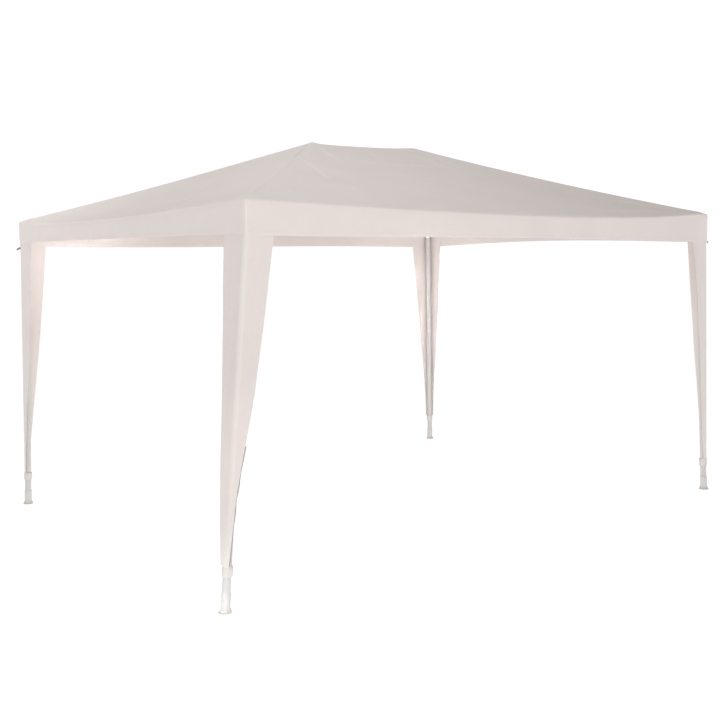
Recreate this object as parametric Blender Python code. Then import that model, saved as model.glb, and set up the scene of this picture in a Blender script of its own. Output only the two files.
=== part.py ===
"""Garden gazebo of 3 m by 4 m, from the ground up.

A steel tube frame carries a woven cover. Four legs stand on flared feet, eave rails join their
tops, and four hip rafters climb to a short ridge tube. The cover is a hip roof with a straight
valance all round and a tapering skirt down the outside of each leg.

+X runs along the long side, +Y from the front to the back and +Z up. The origin lies on the
ground, at the centre of the rectangle that the four feet fill. Sizes are in metres.
"""
import math

import bmesh
import bpy
from mathutils import Vector

# Cover
COVER_LENGTH = 4.00
COVER_WIDTH = 3.00
EAVE_HEIGHT = 2.063
PEAK_HEIGHT = 2.578
RIDGE_LENGTH = 0.946
CLOTH = 0.003
EAVE_SAG = 0.042
HIP_SAG = 0.012
RIDGE_DIP = 0.014
RIDGE_DIP_POWER = 4
PANEL_SAG = 0.016
VALANCE_BOTTOM = 1.885
VALANCE_BOTTOM_SAG = 0.012
COLUMNS = 16
ROWS = 8

# Leg skirts: width of the flap along X and of the flap along Y at the top and at the knee
SKIRT_TOP_FLAPS = {
    "front_left": (0.175, 0.197),
    "front_right": (0.158, 0.155),
    "back_left": (0.197, 0.197),
    "back_right": (0.197, 0.163),
}
SKIRT_KNEE_FLAPS = {
    "front_left": (0.052, 0.085),
    "front_right": (0.060, 0.060),
    "back_left": (0.060, 0.060),
    "back_right": (0.070, 0.052),
}

# Leg skirts: heights, and the collar round the tube at the lower end
SKIRT_KNEE_HEIGHT = 0.43
SKIRT_END_HEIGHT = 0.205
SKIRT_END_FLAP = 0.045
COLLAR_BOTTOM = 0.190
COLLAR_TOP = 0.242
COLLAR_RADIUS = 0.0295
COLLAR_BORE = 0.0233

# Frame tubes
LEG_RADIUS = 0.022
RAIL_RADIUS = 0.0125
TUBE_WALL = 0.001
SIDES = 16
SWAGE_LENGTH = 0.060
SWAGE_TAPER = 0.003
CORNER_INSET = 0.039
LEG_JOINT_HEIGHT = 1.02

# Connectors
HUB_RADIUS = 0.0205
HUB_DROP = 0.022
LEG_STUB = 0.045
RAIL_STUB = 0.055
HIP_STUB = 0.070
PEG_LENGTH = 0.045
PEAK_HUB_RADIUS = 0.014
PEAK_HUB_BOTTOM = 2.522
PEAK_ARM_ROOT = 0.0085

# Feet: how far each stands outside the cover's corner, along X and along Y
FOOT_SPLAY = {
    "front_left": (0.166, -0.014),
    "front_right": (0.017, 0.017),
    "back_left": (0.017, 0.017),
    "back_right": (0.017, 0.017),
}
FOOT_FLANGE_RADIUS = 0.036
FOOT_FLANGE_THICKNESS = 0.005
FOOT_FLARE_RADIUS = 0.028
FOOT_FLARE_HEIGHT = 0.013
FOOT_SLEEVE_RADIUS = 0.0250
FOOT_SLEEVE_START = 0.026
FOOT_HEIGHT = 0.100
FOOT_FLOOR = 0.010
FOOT_SIDES = 24

# Guy loops: a drooping tab of webbing at a corner; its course gives shares of reach and of drop
LOOP_CORNERS = ("front_right", "back_left", "back_right")
LOOP_REACH = 0.027
LOOP_DROP = 0.026
LOOP_HEIGHT = 0.016
LOOP_THICKNESS = 0.003
LOOP_ROOT = 0.004
LOOP_NARROWING = 0.4
LOOP_COURSE = ((0, 0), (0.35, 0.15), (0.75, 0.55), (1, 1))

# Gap kept between neighbouring pieces, and how far each end of a mitred joint steps back for it
GAP = 0.0003
MITRE_GAP = GAP / math.sqrt(2)

CORNERS = {
    "front_left": (-1, -1),
    "front_right": (1, -1),
    "back_left": (-1, 1),
    "back_right": (1, 1),
}
HALF_LENGTH = COVER_LENGTH / 2
HALF_WIDTH = COVER_WIDTH / 2
HALF_RIDGE = RIDGE_LENGTH / 2
RISE = PEAK_HEIGHT - EAVE_HEIGHT
STEEPEST = RISE / HALF_WIDTH
CLOTH_DROP = CLOTH * math.sqrt(1 + STEEPEST ** 2)
UP = Vector((0, 0, 1))

# Edges that turn by more than this stay sharp in smooth shading
TUBE_CREASE = math.radians(35)
CLOTH_CREASE = math.radians(10)

# The cover's centre stands off the origin, because one leg leans out along X
REACH_LEFT = HALF_LENGTH + max(FOOT_SPLAY["front_left"][0], FOOT_SPLAY["back_left"][0])
REACH_RIGHT = HALF_LENGTH + max(FOOT_SPLAY["front_right"][0], FOOT_SPLAY["back_right"][0])
PLAN_SHIFT = Vector(((REACH_LEFT - REACH_RIGHT) / 2, 0, 0))

FINISHES = {
    "cover": ((0.76, 0.71, 0.69, 1), 0.0, 0.75),
    "tube": ((0.80, 0.79, 0.77, 1), 0.3, 0.35),
    "connector": ((0.78, 0.77, 0.75, 1), 0.3, 0.40),
    "foot": ((0.72, 0.70, 0.68, 1), 0.0, 0.50),
    "loop": ((0.12, 0.12, 0.12, 1), 0.0, 0.85),
}


def clear_scene():
    """Removes every object that the file starts with."""
    for item in list(bpy.data.objects):
        bpy.data.objects.remove(item, do_unlink=True)


def finish(name):
    """The material of one finish, made on first use."""
    material = bpy.data.materials.get(name)
    if material is None:
        colour, metallic, roughness = FINISHES[name]
        material = bpy.data.materials.new(name)
        material.use_nodes = True
        shader = material.node_tree.nodes["Principled BSDF"]
        shader.inputs["Base Color"].default_value = colour
        shader.inputs["Metallic"].default_value = metallic
        shader.inputs["Roughness"].default_value = roughness
    return material


def add_object(name, shape, look):
    """Turns a bmesh into a named object with its material; faces are turned outwards."""
    bmesh.ops.recalc_face_normals(shape, faces=shape.faces)
    mesh = bpy.data.meshes.new(name)
    shape.to_mesh(mesh)
    shape.free()
    item = bpy.data.objects.new(name, mesh)
    bpy.context.scene.collection.objects.link(item)
    item.data.materials.append(finish(look))
    return item


def round_shading(item, crease=TUBE_CREASE):
    """Smooth shading that keeps the edges of end faces sharp."""
    item.data.shade_smooth()
    item.data.set_sharp_from_angle(angle=crease)


def fuse(target, addition):
    """Makes one solid of the target and the addition, and removes the addition."""
    step = target.modifiers.new("fuse", "BOOLEAN")
    step.operation = "UNION"
    step.solver = "EXACT"
    step.object = addition
    view = bpy.context.evaluated_depsgraph_get()
    mesh = bpy.data.meshes.new_from_object(target.evaluated_get(view))
    target.modifiers.clear()
    target.data = mesh
    mesh.name = target.name
    bpy.data.objects.remove(addition, do_unlink=True)


def loft(name, rings, look, closed=False):
    """Joins rings of equal point count; the ends are capped, or joined to each other if closed."""
    shape = bmesh.new()
    loops = []
    for ring in rings:
        loops.append([shape.verts.new(point) for point in ring])
    count = len(loops[0])
    pairs = list(zip(loops, loops[1:]))
    if closed:
        pairs.append((loops[-1], loops[0]))
    else:
        shape.faces.new(loops[0])
        shape.faces.new(loops[-1])
    for lower, upper in pairs:
        for index in range(count):
            after = (index + 1) % count
            shape.faces.new((lower[index], lower[after], upper[after], upper[index]))
    return add_object(name, shape, look)


def circle(centre, axis, radius, sides=SIDES):
    """Points of a circle about an axis; circles about like axes start at the same angle."""
    axis = axis.normalized()
    mostly_along_x = abs(axis.x) > 0.6
    side = Vector((0, 1, 0)) if mostly_along_x else Vector((1, 0, 0))
    across = axis.cross(side).normalized()
    along = across.cross(axis)
    points = []
    for index in range(sides):
        angle = 2 * math.pi * index / sides
        points.append(centre + (across * math.cos(angle) + along * math.sin(angle)) * radius)
    return points


def rod(name, start, end, radius, peg_length=0, peg_radius=0):
    """A solid round bar, with a thinner peg beyond its end where peg_length is given."""
    axis = (end - start).normalized()
    rings = [circle(start, axis, radius), circle(end, axis, radius)]
    if peg_length:
        rings.append(circle(end, axis, peg_radius))
        rings.append(circle(end + axis * peg_length, axis, peg_radius))
    return loft(name, rings, "connector")


def tube(name, centres, outer, swaged):
    """An open tube through the centres; a swaged end narrows to fit inside the next tube."""
    axis = (centres[-1] - centres[0]).normalized()
    stations = [(centre, outer) for centre in centres]
    if swaged:
        narrow = outer - TUBE_WALL - GAP
        end = centres[-1]
        stations[-1] = (end - axis * (GAP + SWAGE_TAPER), outer)
        stations.append((end - axis * GAP, narrow))
        stations.append((end + axis * SWAGE_LENGTH, narrow))
    outside = [circle(centre, axis, radius) for centre, radius in stations]
    inside = [circle(centre, axis, radius - TUBE_WALL) for centre, radius in stations]
    item = loft(name, outside + inside[::-1], "tube", closed=True)
    round_shading(item)
    return item


def drop(amount):
    """A vector straight down."""
    return UP * -amount


def eave_sag(across):
    """How far the cover's fold hangs below its corners; across runs from -1 to 1 along a side."""
    return EAVE_SAG * (1 - across ** 2)


def valance_bottom(across):
    """Height of the valance's lower edge at one of the columns' ends or between them."""
    place = (abs(across) + 1) / 2 * COLUMNS
    column = min(int(place), COLUMNS - 1)
    share = place - column
    heights = []
    for index in (column, column + 1):
        edge = 2 * index / COLUMNS - 1
        heights.append(VALANCE_BOTTOM - VALANCE_BOTTOM_SAG * (1 - edge ** 2))
    return heights[0] * (1 - share) + heights[1] * share


def bow(share):
    """A parabola: 0 at both ends of a span, where share is 0 or 1, and 1 in the middle."""
    return 4 * share * (1 - share)


def slope_height(across, up):
    """Height of a roof slope: across from hip to hip, -1 to 1, and up from eave to top, 0 to 1."""
    sag = HIP_SAG * bow(up)
    sag += eave_sag(across) * (1 - up) ** 2
    sag += PANEL_SAG * (1 - across ** 2) * bow(up)
    return EAVE_HEIGHT + RISE * up - sag


def ridge_dip(across):
    """How far the ridge of the cloth lies below the line between the two peaks."""
    return 0 if abs(across) == 1 else RIDGE_DIP


def long_slope(direction, across, up):
    """A point of the front slope, direction -1, or of the back slope, direction 1."""
    half = HALF_LENGTH + (HALF_RIDGE - HALF_LENGTH) * up
    height = slope_height(across, up) - ridge_dip(across) * up ** RIDGE_DIP_POWER
    return Vector((across * half, direction * HALF_WIDTH * (1 - up), height)) + PLAN_SHIFT


def short_slope(direction, across, up):
    """A point of the left slope, direction -1, or of the right slope, direction 1."""
    half = HALF_WIDTH * (1 - up)
    reach = HALF_LENGTH + (HALF_RIDGE - HALF_LENGTH) * up
    return Vector((direction * reach, across * half, slope_height(across, up))) + PLAN_SHIFT


def facet_lean(first, second, third):
    """The upward part of the unit normal of a facet, 1 where the facet is level."""
    return abs((second - first).cross(third - first).normalized().z)


def tube_drop(leans):
    """How far a rail tube's axis lies below an edge of the cloth, to clear the facets beside it."""
    return CLOTH_DROP + (RAIL_RADIUS + GAP) / min(leans)


def hip_drop():
    """The drop of the hip rafters, from the facets on both sides of a hip."""
    beside = 1 - 2 / COLUMNS
    leans = []
    for row in range(ROWS):
        low = row / ROWS
        high = (row + 1) / ROWS
        start = long_slope(1, 1, low)
        end = long_slope(1, 1, high)
        leans.append(facet_lean(start, end, long_slope(1, beside, low)))
        leans.append(facet_lean(start, end, long_slope(1, beside, high)))
        leans.append(facet_lean(start, end, short_slope(1, beside, low)))
    return tube_drop(leans)


def ridge_drop():
    """The drop of the ridge tube, from the facets beside the ridge."""
    beside = 2 / COLUMNS
    below = 1 - 1 / ROWS
    return tube_drop([facet_lean(long_slope(1, 0, 1), long_slope(1, beside, 1), long_slope(1, 0, below))])


HIP_DROP = hip_drop()
RIDGE_DROP = ridge_drop()


def hip_point(corner, up):
    """A point of the line where two slopes meet, from a corner of the cover to its peak."""
    side, depth = CORNERS[corner]
    return long_slope(depth, side, up)


def cover_corner(corner, height):
    """The cover's outer corner at a height."""
    side, depth = CORNERS[corner]
    return Vector((side * HALF_LENGTH, depth * HALF_WIDTH, height)) + PLAN_SHIFT


def rail_height():
    """Height at which the eave rails' axes lie, so that the cover's fold rests on the rails."""
    first = 1 / ROWS
    lowest = None
    for point in (long_slope, short_slope):
        edge = point(1, 0, 0)
        inside = point(1, 0, first)
        run = math.hypot(edge.x - inside.x, edge.y - inside.y)
        slope = (inside.z - edge.z) / run
        over_rail = edge.z + slope * CORNER_INSET
        height = over_rail - (CLOTH_DROP + (RAIL_RADIUS + GAP) * math.sqrt(1 + slope ** 2))
        lowest = height if lowest is None else min(lowest, height)
    return lowest


RAIL_HEIGHT = rail_height()


def hub_centre(corner):
    """Where the axes of a leg and of its two rails meet."""
    side, depth = CORNERS[corner]
    inset = Vector((side * CORNER_INSET, depth * CORNER_INSET, 0))
    return cover_corner(corner, RAIL_HEIGHT) - inset


def foot_centre(corner):
    """The middle of a foot, on the ground."""
    side, depth = CORNERS[corner]
    splay = FOOT_SPLAY[corner]
    return cover_corner(corner, 0) + Vector((side * splay[0], depth * splay[1], 0))


def leg_axis(corner):
    """Unit vector from a foot up to its hub."""
    return (hub_centre(corner) - foot_centre(corner)).normalized()


def on_leg(corner, height):
    """The point of a leg's axis at a height."""
    axis = leg_axis(corner)
    return foot_centre(corner) + axis * (height / axis.z)


def hip_axis_point(corner, up):
    """A point of a hip rafter's axis, under the cloth."""
    return hip_point(corner, up) + drop(HIP_DROP)


def hip_lower_end(corner):
    """Where a hip rafter starts above its corner's hub, and the direction up from there."""
    bottom = hip_axis_point(corner, 0)
    run = (hip_axis_point(corner, 1 / ROWS) - bottom).normalized()
    return bottom + run * (CORNER_INSET * math.sqrt(2) + HIP_STUB), run


def hip_upper_end(corner):
    """Where a hip rafter ends below its peak, and the direction down from there."""
    top = hip_axis_point(corner, 1)
    run = (hip_axis_point(corner, 1 - 1 / ROWS) - top).normalized()
    return top + run * HIP_STUB, run


def build_feet():
    """Moulded feet: a flat flange on the ground and a sleeve along the leg's axis."""
    for corner in CORNERS:
        base = foot_centre(corner)
        axis = leg_axis(corner)
        between = (UP + axis).normalized()
        bore = LEG_RADIUS + 2 * GAP
        rings = [
            circle(base, UP, FOOT_FLANGE_RADIUS, FOOT_SIDES),
            circle(base + UP * FOOT_FLANGE_THICKNESS, UP, FOOT_FLANGE_RADIUS, FOOT_SIDES),
            circle(base + between * FOOT_FLARE_HEIGHT, between, FOOT_FLARE_RADIUS, FOOT_SIDES),
            circle(base + axis * FOOT_SLEEVE_START, axis, FOOT_SLEEVE_RADIUS, FOOT_SIDES),
            circle(base + axis * FOOT_HEIGHT, axis, FOOT_SLEEVE_RADIUS, FOOT_SIDES),
            circle(base + axis * FOOT_HEIGHT, axis, bore, FOOT_SIDES),
            circle(base + axis * FOOT_FLOOR, axis, bore, FOOT_SIDES),
        ]
        round_shading(loft("foot_" + corner, rings, "foot"))


def build_legs():
    """Each leg is two tubes; the upper one's swaged end stands in the lower one."""
    for corner in CORNERS:
        axis = leg_axis(corner)
        joint = on_leg(corner, LEG_JOINT_HEIGHT)
        bottom = foot_centre(corner) + axis * (FOOT_FLOOR + GAP)
        top = hub_centre(corner) - axis * (LEG_STUB + GAP)
        tube("leg_lower_" + corner, [bottom, joint], LEG_RADIUS, False)
        tube("leg_upper_" + corner, [top, joint], LEG_RADIUS, True)


def build_rails():
    """Each eave side is two tubes between the corner connectors, joined at mid side."""
    ends = {
        "front": ("front_left", "front_right"),
        "back": ("back_left", "back_right"),
        "left": ("front_left", "back_left"),
        "right": ("front_right", "back_right"),
    }
    halves = {
        "front": ("left", "right"),
        "back": ("left", "right"),
        "left": ("front", "back"),
        "right": ("front", "back"),
    }
    for side, (first, second) in ends.items():
        start = hub_centre(first)
        end = hub_centre(second)
        axis = (end - start).normalized()
        middle = (start + end) / 2
        near = start + axis * (RAIL_STUB + GAP)
        far = end - axis * (RAIL_STUB + GAP)
        name = "eave_rail_" + side + "_"
        tube(name + halves[side][0], [near, middle], RAIL_RADIUS, False)
        tube(name + halves[side][1], [far, middle], RAIL_RADIUS, True)


def build_hips():
    """Hip rafters, bent a little by the pull of the cover, under the lines where slopes meet."""
    for corner in CORNERS:
        start, upwards = hip_lower_end(corner)
        end, downwards = hip_upper_end(corner)
        bends = [hip_axis_point(corner, row / ROWS) for row in range(1, ROWS)]
        centres = [start + upwards * GAP] + bends + [end + downwards * GAP]
        tube("hip_rafter_" + corner, centres, RAIL_RADIUS, False)


def peak_point(direction):
    """The peak of the cover at one end of the ridge."""
    return Vector((direction * HALF_RIDGE, 0, PEAK_HEIGHT)) + PLAN_SHIFT


def ridge_axis_point(direction):
    """The ridge tube's axis, under a peak."""
    return peak_point(direction) + drop(RIDGE_DIP + RIDGE_DROP)


def build_ridge():
    """One tube between the two ridge connectors."""
    left = ridge_axis_point(-1)
    right = ridge_axis_point(1)
    inward = (right - left).normalized() * (RAIL_STUB + GAP)
    tube("ridge_tube", [left + inward, right - inward], RAIL_RADIUS, False)


def build_corner_connectors():
    """A hub with a stub and a peg for the leg, for both rails and for the hip rafter."""
    leg_peg = LEG_RADIUS - TUBE_WALL - GAP
    rail_peg = RAIL_RADIUS - TUBE_WALL - GAP
    for corner, (side, depth) in CORNERS.items():
        centre = hub_centre(corner)
        axis = leg_axis(corner)
        cap = EAVE_HEIGHT - CLOTH_DROP - GAP
        low = centre + drop(HUB_DROP)
        high = Vector((centre.x, centre.y, cap))
        item = rod("corner_connector_" + corner, low, high, HUB_RADIUS)
        leg_end = centre - axis * LEG_STUB
        fuse(item, rod("leg_arm", centre, leg_end, LEG_RADIUS, PEG_LENGTH, leg_peg))
        for direction in (Vector((-side, 0, 0)), Vector((0, -depth, 0))):
            stub = centre + direction * RAIL_STUB
            fuse(item, rod("rail_arm", centre, stub, RAIL_RADIUS, PEG_LENGTH, rail_peg))
        start, upwards = hip_lower_end(corner)
        root = start - upwards * HIP_STUB
        fuse(item, rod("hip_arm", root, start, RAIL_RADIUS, PEG_LENGTH, rail_peg))
        round_shading(item)


def build_ridge_connectors():
    """A hub at each end of the ridge, with pegs for the ridge tube and for two hip rafters."""
    rail_peg = RAIL_RADIUS - TUBE_WALL - GAP
    for name, direction in (("left", -1), ("right", 1)):
        peak = peak_point(direction)
        low = Vector((peak.x, peak.y, PEAK_HUB_BOTTOM))
        high = Vector((peak.x, peak.y, PEAK_HEIGHT - RIDGE_DIP))
        item = rod("ridge_connector_" + name, low, high, PEAK_HUB_RADIUS)
        root = ridge_axis_point(direction)
        stub = root - Vector((direction * RAIL_STUB, 0, 0))
        fuse(item, rod("ridge_arm", root, stub, RAIL_RADIUS, PEG_LENGTH, rail_peg))
        for corner in ("front_" + name, "back_" + name):
            end, downwards = hip_upper_end(corner)
            inner = hip_axis_point(corner, 1) + downwards * PEAK_ARM_ROOT
            fuse(item, rod("hip_arm", inner, end, RAIL_RADIUS, PEG_LENGTH, rail_peg))
        round_shading(item)


def panel_rows(point, direction, outward):
    """The grid of a roof panel, eave row first; its upper edges step back for the seams."""
    rows = []
    for row in range(ROWS + 1):
        line = [point(direction, 2 * column / COLUMNS - 1, row / ROWS) for column in range(COLUMNS + 1)]
        step = (line[-1] - line[0]).normalized() * MITRE_GAP
        line[0] = line[0] + step
        line[-1] = line[-1] - step
        if row == ROWS:
            line = [place + outward * GAP for place in line]
        rows.append(line)
    return rows


def add_sheet(shape, rows):
    """Faces between rows of points; a row whose points all coincide becomes one vertex."""
    lines = []
    for row in rows:
        if row[0] == row[-1]:
            lines.append([shape.verts.new(row[0])] * len(row))
        else:
            lines.append([shape.verts.new(place) for place in row])
    for lower, upper in zip(lines, lines[1:]):
        for column in range(len(lower) - 1):
            corners = (lower[column], lower[column + 1], upper[column + 1], upper[column])
            shape.faces.new(list(dict.fromkeys(corners)))
    return lines


def sheet_rim(lines):
    """The vertices round the edge of a sheet, in order."""
    right = [line[-1] for line in lines[1:-1]]
    left = [line[0] for line in lines[-2:0:-1]]
    return list(dict.fromkeys(lines[0] + right + lines[-1][::-1] + left))


def build_roof():
    """The four panels of the roof; the underside of each repeats its top, one thickness lower."""
    panels = {
        "front": (long_slope, -1, Vector((0, -1, 0))),
        "back": (long_slope, 1, Vector((0, 1, 0))),
        "left": (short_slope, -1, Vector((-1, 0, 0))),
        "right": (short_slope, 1, Vector((1, 0, 0))),
    }
    for name, (point, direction, outward) in panels.items():
        shape = bmesh.new()
        rows = panel_rows(point, direction, outward)
        upper = sheet_rim(add_sheet(shape, rows))
        lower = sheet_rim(add_sheet(shape, [[place + drop(CLOTH_DROP) for place in row] for row in rows]))
        for index in range(len(upper)):
            after = (index + 1) % len(upper)
            shape.faces.new((upper[index], upper[after], lower[after], lower[index]))
        round_shading(add_object("roof_" + name, shape, "cover"), CLOTH_CREASE)


def build_valances():
    """The straight strip of cover that hangs down each side, mitred at its two ends."""
    sides = {
        "front": (long_slope, -1, Vector((1, 0, 0)), Vector((0, 1, 0))),
        "back": (long_slope, 1, Vector((1, 0, 0)), Vector((0, -1, 0))),
        "left": (short_slope, -1, Vector((0, 1, 0)), Vector((1, 0, 0))),
        "right": (short_slope, 1, Vector((0, 1, 0)), Vector((-1, 0, 0))),
    }
    for name, (point, direction, along, inward) in sides.items():
        rings = []
        for column in range(COLUMNS + 1):
            across = 2 * column / COLUMNS - 1
            edge = point(direction, across, 0)
            end = int(across)
            edge = edge - along * end * MITRE_GAP
            mitre = inward * CLOTH - along * end * CLOTH
            top = edge.z - CLOTH_DROP - GAP
            bottom = valance_bottom(across)
            outer_top = Vector((edge.x, edge.y, top))
            outer_bottom = Vector((edge.x, edge.y, bottom))
            rings.append([outer_top, outer_bottom, outer_bottom + mitre, outer_top + mitre])
        loft("valance_" + name, rings, "cover")


def skirt_ring(corner, place, flaps, on_valance=False):
    """The skirt's angle-shaped section at one level; place is its outer corner."""
    side, depth = CORNERS[corner]
    wide, deep = flaps
    offsets = [(0, 0), (wide, 0), (wide, CLOTH), (CLOTH, CLOTH), (CLOTH, deep), (0, deep)]
    ring = []
    for along, back in offsets:
        point = place - Vector((side * along, depth * back, 0))
        if on_valance:
            across = max(along / HALF_LENGTH, back / HALF_WIDTH)
            point.z = valance_bottom(1 - across) - GAP
        ring.append(point)
    return ring


def build_leg_skirts():
    """Each skirt wraps the outside of its leg, tapers to the tube and ends in a sewn collar."""
    share = (VALANCE_BOTTOM - SKIRT_KNEE_HEIGHT) / (VALANCE_BOTTOM - SKIRT_END_HEIGHT)
    reach = LEG_RADIUS + CLOTH + 2 * GAP
    for corner, (side, depth) in CORNERS.items():
        top = cover_corner(corner, VALANCE_BOTTOM)
        end = on_leg(corner, SKIRT_END_HEIGHT) + Vector((side * reach, depth * reach, 0))
        knee = top.lerp(end, share)
        rings = [
            skirt_ring(corner, top, SKIRT_TOP_FLAPS[corner], True),
            skirt_ring(corner, knee, SKIRT_KNEE_FLAPS[corner]),
            skirt_ring(corner, end, (SKIRT_END_FLAP, SKIRT_END_FLAP)),
        ]
        item = loft("leg_skirt_" + corner, rings, "cover")
        axis = leg_axis(corner)
        low = on_leg(corner, COLLAR_BOTTOM)
        high = on_leg(corner, COLLAR_TOP)
        collar = loft("collar", [
            circle(low, axis, COLLAR_RADIUS),
            circle(high, axis, COLLAR_RADIUS),
            circle(high, axis, COLLAR_BORE),
            circle(low, axis, COLLAR_BORE),
        ], "cover", closed=True)
        fuse(item, collar)


def build_guy_loops():
    """Short tabs of folded webbing that stand out from the corner seams and droop."""
    for corner in LOOP_CORNERS:
        side, depth = CORNERS[corner]
        outward = Vector((side, depth, 0)).normalized()
        sideways = outward.cross(UP) * LOOP_THICKNESS / 2
        root = cover_corner(corner, VALANCE_BOTTOM + LOOP_ROOT) + outward * 2 * GAP
        rings = []
        for out, down in LOOP_COURSE:
            low = root + outward * LOOP_REACH * out + drop(LOOP_DROP * down)
            high = low + UP * LOOP_HEIGHT * (1 - LOOP_NARROWING * down)
            rings.append([low - sideways, low + sideways, high + sideways, high - sideways])
        loft("guy_loop_" + corner, rings, "loop")


def main():
    clear_scene()
    build_feet()
    build_legs()
    build_corner_connectors()
    build_rails()
    build_hips()
    build_ridge_connectors()
    build_ridge()
    build_roof()
    build_valances()
    build_leg_skirts()
    build_guy_loops()


main()
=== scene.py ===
"""Garden gazebo: the sewn cover, its seams and hems, the tubes, connectors, feet and guy loops.

Each new piece is a surface of two parameters worked out as whole numpy arrays. A cover surface takes
a place round the outline and a level; a turned piece carries a profile round an axis. Sizes are in
metres, +X along the long side, +Y from the front to the back and +Z up.
"""
import math

import bmesh
import bpy
import numpy as np
from mathutils import Matrix, Vector


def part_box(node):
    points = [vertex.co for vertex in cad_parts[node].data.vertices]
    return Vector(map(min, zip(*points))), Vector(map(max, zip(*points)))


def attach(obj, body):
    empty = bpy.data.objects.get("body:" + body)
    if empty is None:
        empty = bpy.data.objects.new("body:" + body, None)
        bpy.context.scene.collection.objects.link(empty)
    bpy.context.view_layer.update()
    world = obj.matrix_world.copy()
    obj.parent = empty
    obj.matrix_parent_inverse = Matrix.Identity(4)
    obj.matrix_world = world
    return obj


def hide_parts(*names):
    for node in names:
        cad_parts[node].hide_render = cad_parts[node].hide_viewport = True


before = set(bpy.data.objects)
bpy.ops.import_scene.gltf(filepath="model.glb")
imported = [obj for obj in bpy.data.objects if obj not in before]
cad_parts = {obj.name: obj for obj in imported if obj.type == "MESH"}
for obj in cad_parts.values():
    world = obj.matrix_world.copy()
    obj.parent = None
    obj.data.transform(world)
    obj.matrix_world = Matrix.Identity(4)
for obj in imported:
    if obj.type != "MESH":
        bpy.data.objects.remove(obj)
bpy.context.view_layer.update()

# The cover's outline and heights, from the solids
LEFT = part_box("valance_left")[0].x
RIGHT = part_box("valance_right")[1].x
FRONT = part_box("valance_front")[0].y
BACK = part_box("valance_back")[1].y
MIDDLE = (LEFT + RIGHT) / 2
HALF_LENGTH = (RIGHT - LEFT) / 2
HALF_WIDTH = (BACK - FRONT) / 2
PEAK_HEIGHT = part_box("roof_front")[1].z
VALANCE_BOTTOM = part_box("leg_skirt_front_left")[1].z
RAIL_HEIGHT = (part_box("eave_rail_left_front")[0].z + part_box("eave_rail_left_front")[1].z) / 2

# Roof: its heights, sags and dips, the fold and lap at the eave, its seams and the rows of its mesh
EAVE_HEIGHT = 2.063
HALF_RIDGE = 0.473
RISE = PEAK_HEIGHT - EAVE_HEIGHT
HIP_SAG = 0.0160
RAFTER_SAG = 0.012
PANEL_SAG = 0.016
PEAK_LIFT = 0.00175
RIDGE_TILT = 0.00575
RIDGE_DIP = 0.0145
RIDGE_DIP_POWER = 4
PEAK_POWER = 4
LEFT_DIP_SPREAD = 6
RIGHT_DIP_SPREAD = 2
HUB_TOP_DROP = 0.014
SLOPE_LENGTH = math.hypot(HALF_WIDTH, RISE)
SLOPE_ANGLE = math.radians(17.7)
FOLD_RADIUS = 0.016
FOLD_CENTRE = FOLD_RADIUS * (math.tan(SLOPE_ANGLE) - 1 / math.cos(SLOPE_ANGLE))
LAP = 0.012
CLOTH = 0.001
RAIL_INSET = 0.039
SEAM_HALF_WIDTH = 0.008
SEAM_RISE = 0.0003
SLACK_OVER_RAIL = 0.0445
LEAST_SLACK = 0.0008
RAIL_FOLD_WIDTH = 0.020
FLARE_REACH = 0.060
ROOF_CREASE = math.radians(50)
ROWS_NEAR_EAVE = (0.017, 0.022, 0.027, 0.032, 0.037, 0.043, 0.052, 0.064, 0.080)
LAST_ROW_NEAR_EAVE = 0.100
ROOF_COLUMNS = (161, 121)
UV_STEP = 7

# Corner roundings, flares and tips, and heights of the valance's lower edge, in CORNER_ORDER
CORNER_RADII = (0.020, 0.009, 0.012, 0.011)
CORNER_FLARES = (0.005, 0.014, 0.006, 0.003)
CORNER_TIPS = (0.003, 0.012, 0.004, 0.005)
TIP_REACH = 0.045
BOTTOM_CORNERS = (1.887, 1.850, 1.874, 1.890)

# Side by side, front, right, back and left: sag of the eave and lean of that sag to one end; arch,
# twist, lift and lean of the valance's lower edge
EAVE_SAGS = (0.0485, 0.042, 0.044, 0.036)
EAVE_LEANS = (0.42, 0.0, 0.0, -0.45)
BOTTOM_ARCHES = (0.011, 0.034, 0.004, 0.0)
BOTTOM_TWISTS = (0.006, 0.0, -0.024, 0.0)
BOTTOM_LIFTS = (-0.004, 0.0, -0.006, 0.0145)
BOTTOM_LEANS = (0.003, 0.0, 0.006, -0.0095)

# Valance: how much of its rows the hem takes, and how white the doubled cloth turns
VALANCE_INSET = 0.0013
VALANCE_TOP_DROP = 0.0135
HEM = 0.018
HEM_BULGE = 0.0006
HEM_SHARE = 0.25
HEM_ROOM = 0.024
HEM_LEVELS = (0.0, 0.0007, 0.002, 0.005, 0.009, 0.0125, 0.0145, 0.0158, 0.0171, 0.0185, 0.021)
STITCH_LINE = 0.90
VALANCE_COLUMNS = (289, 217)
# Painted highlight along the rounded corners of the valance and the leg skirts: its strength, and the
# distances from the corner over which it fades out
CORNER_HIGHLIGHT = 0.55
CORNER_HIGHLIGHT_START = 0.012
CORNER_HIGHLIGHT_END = 0.018
VALANCE_HEM_WHITE = 0.07
SKIRT_HEM_WHITE = 0.08

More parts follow.
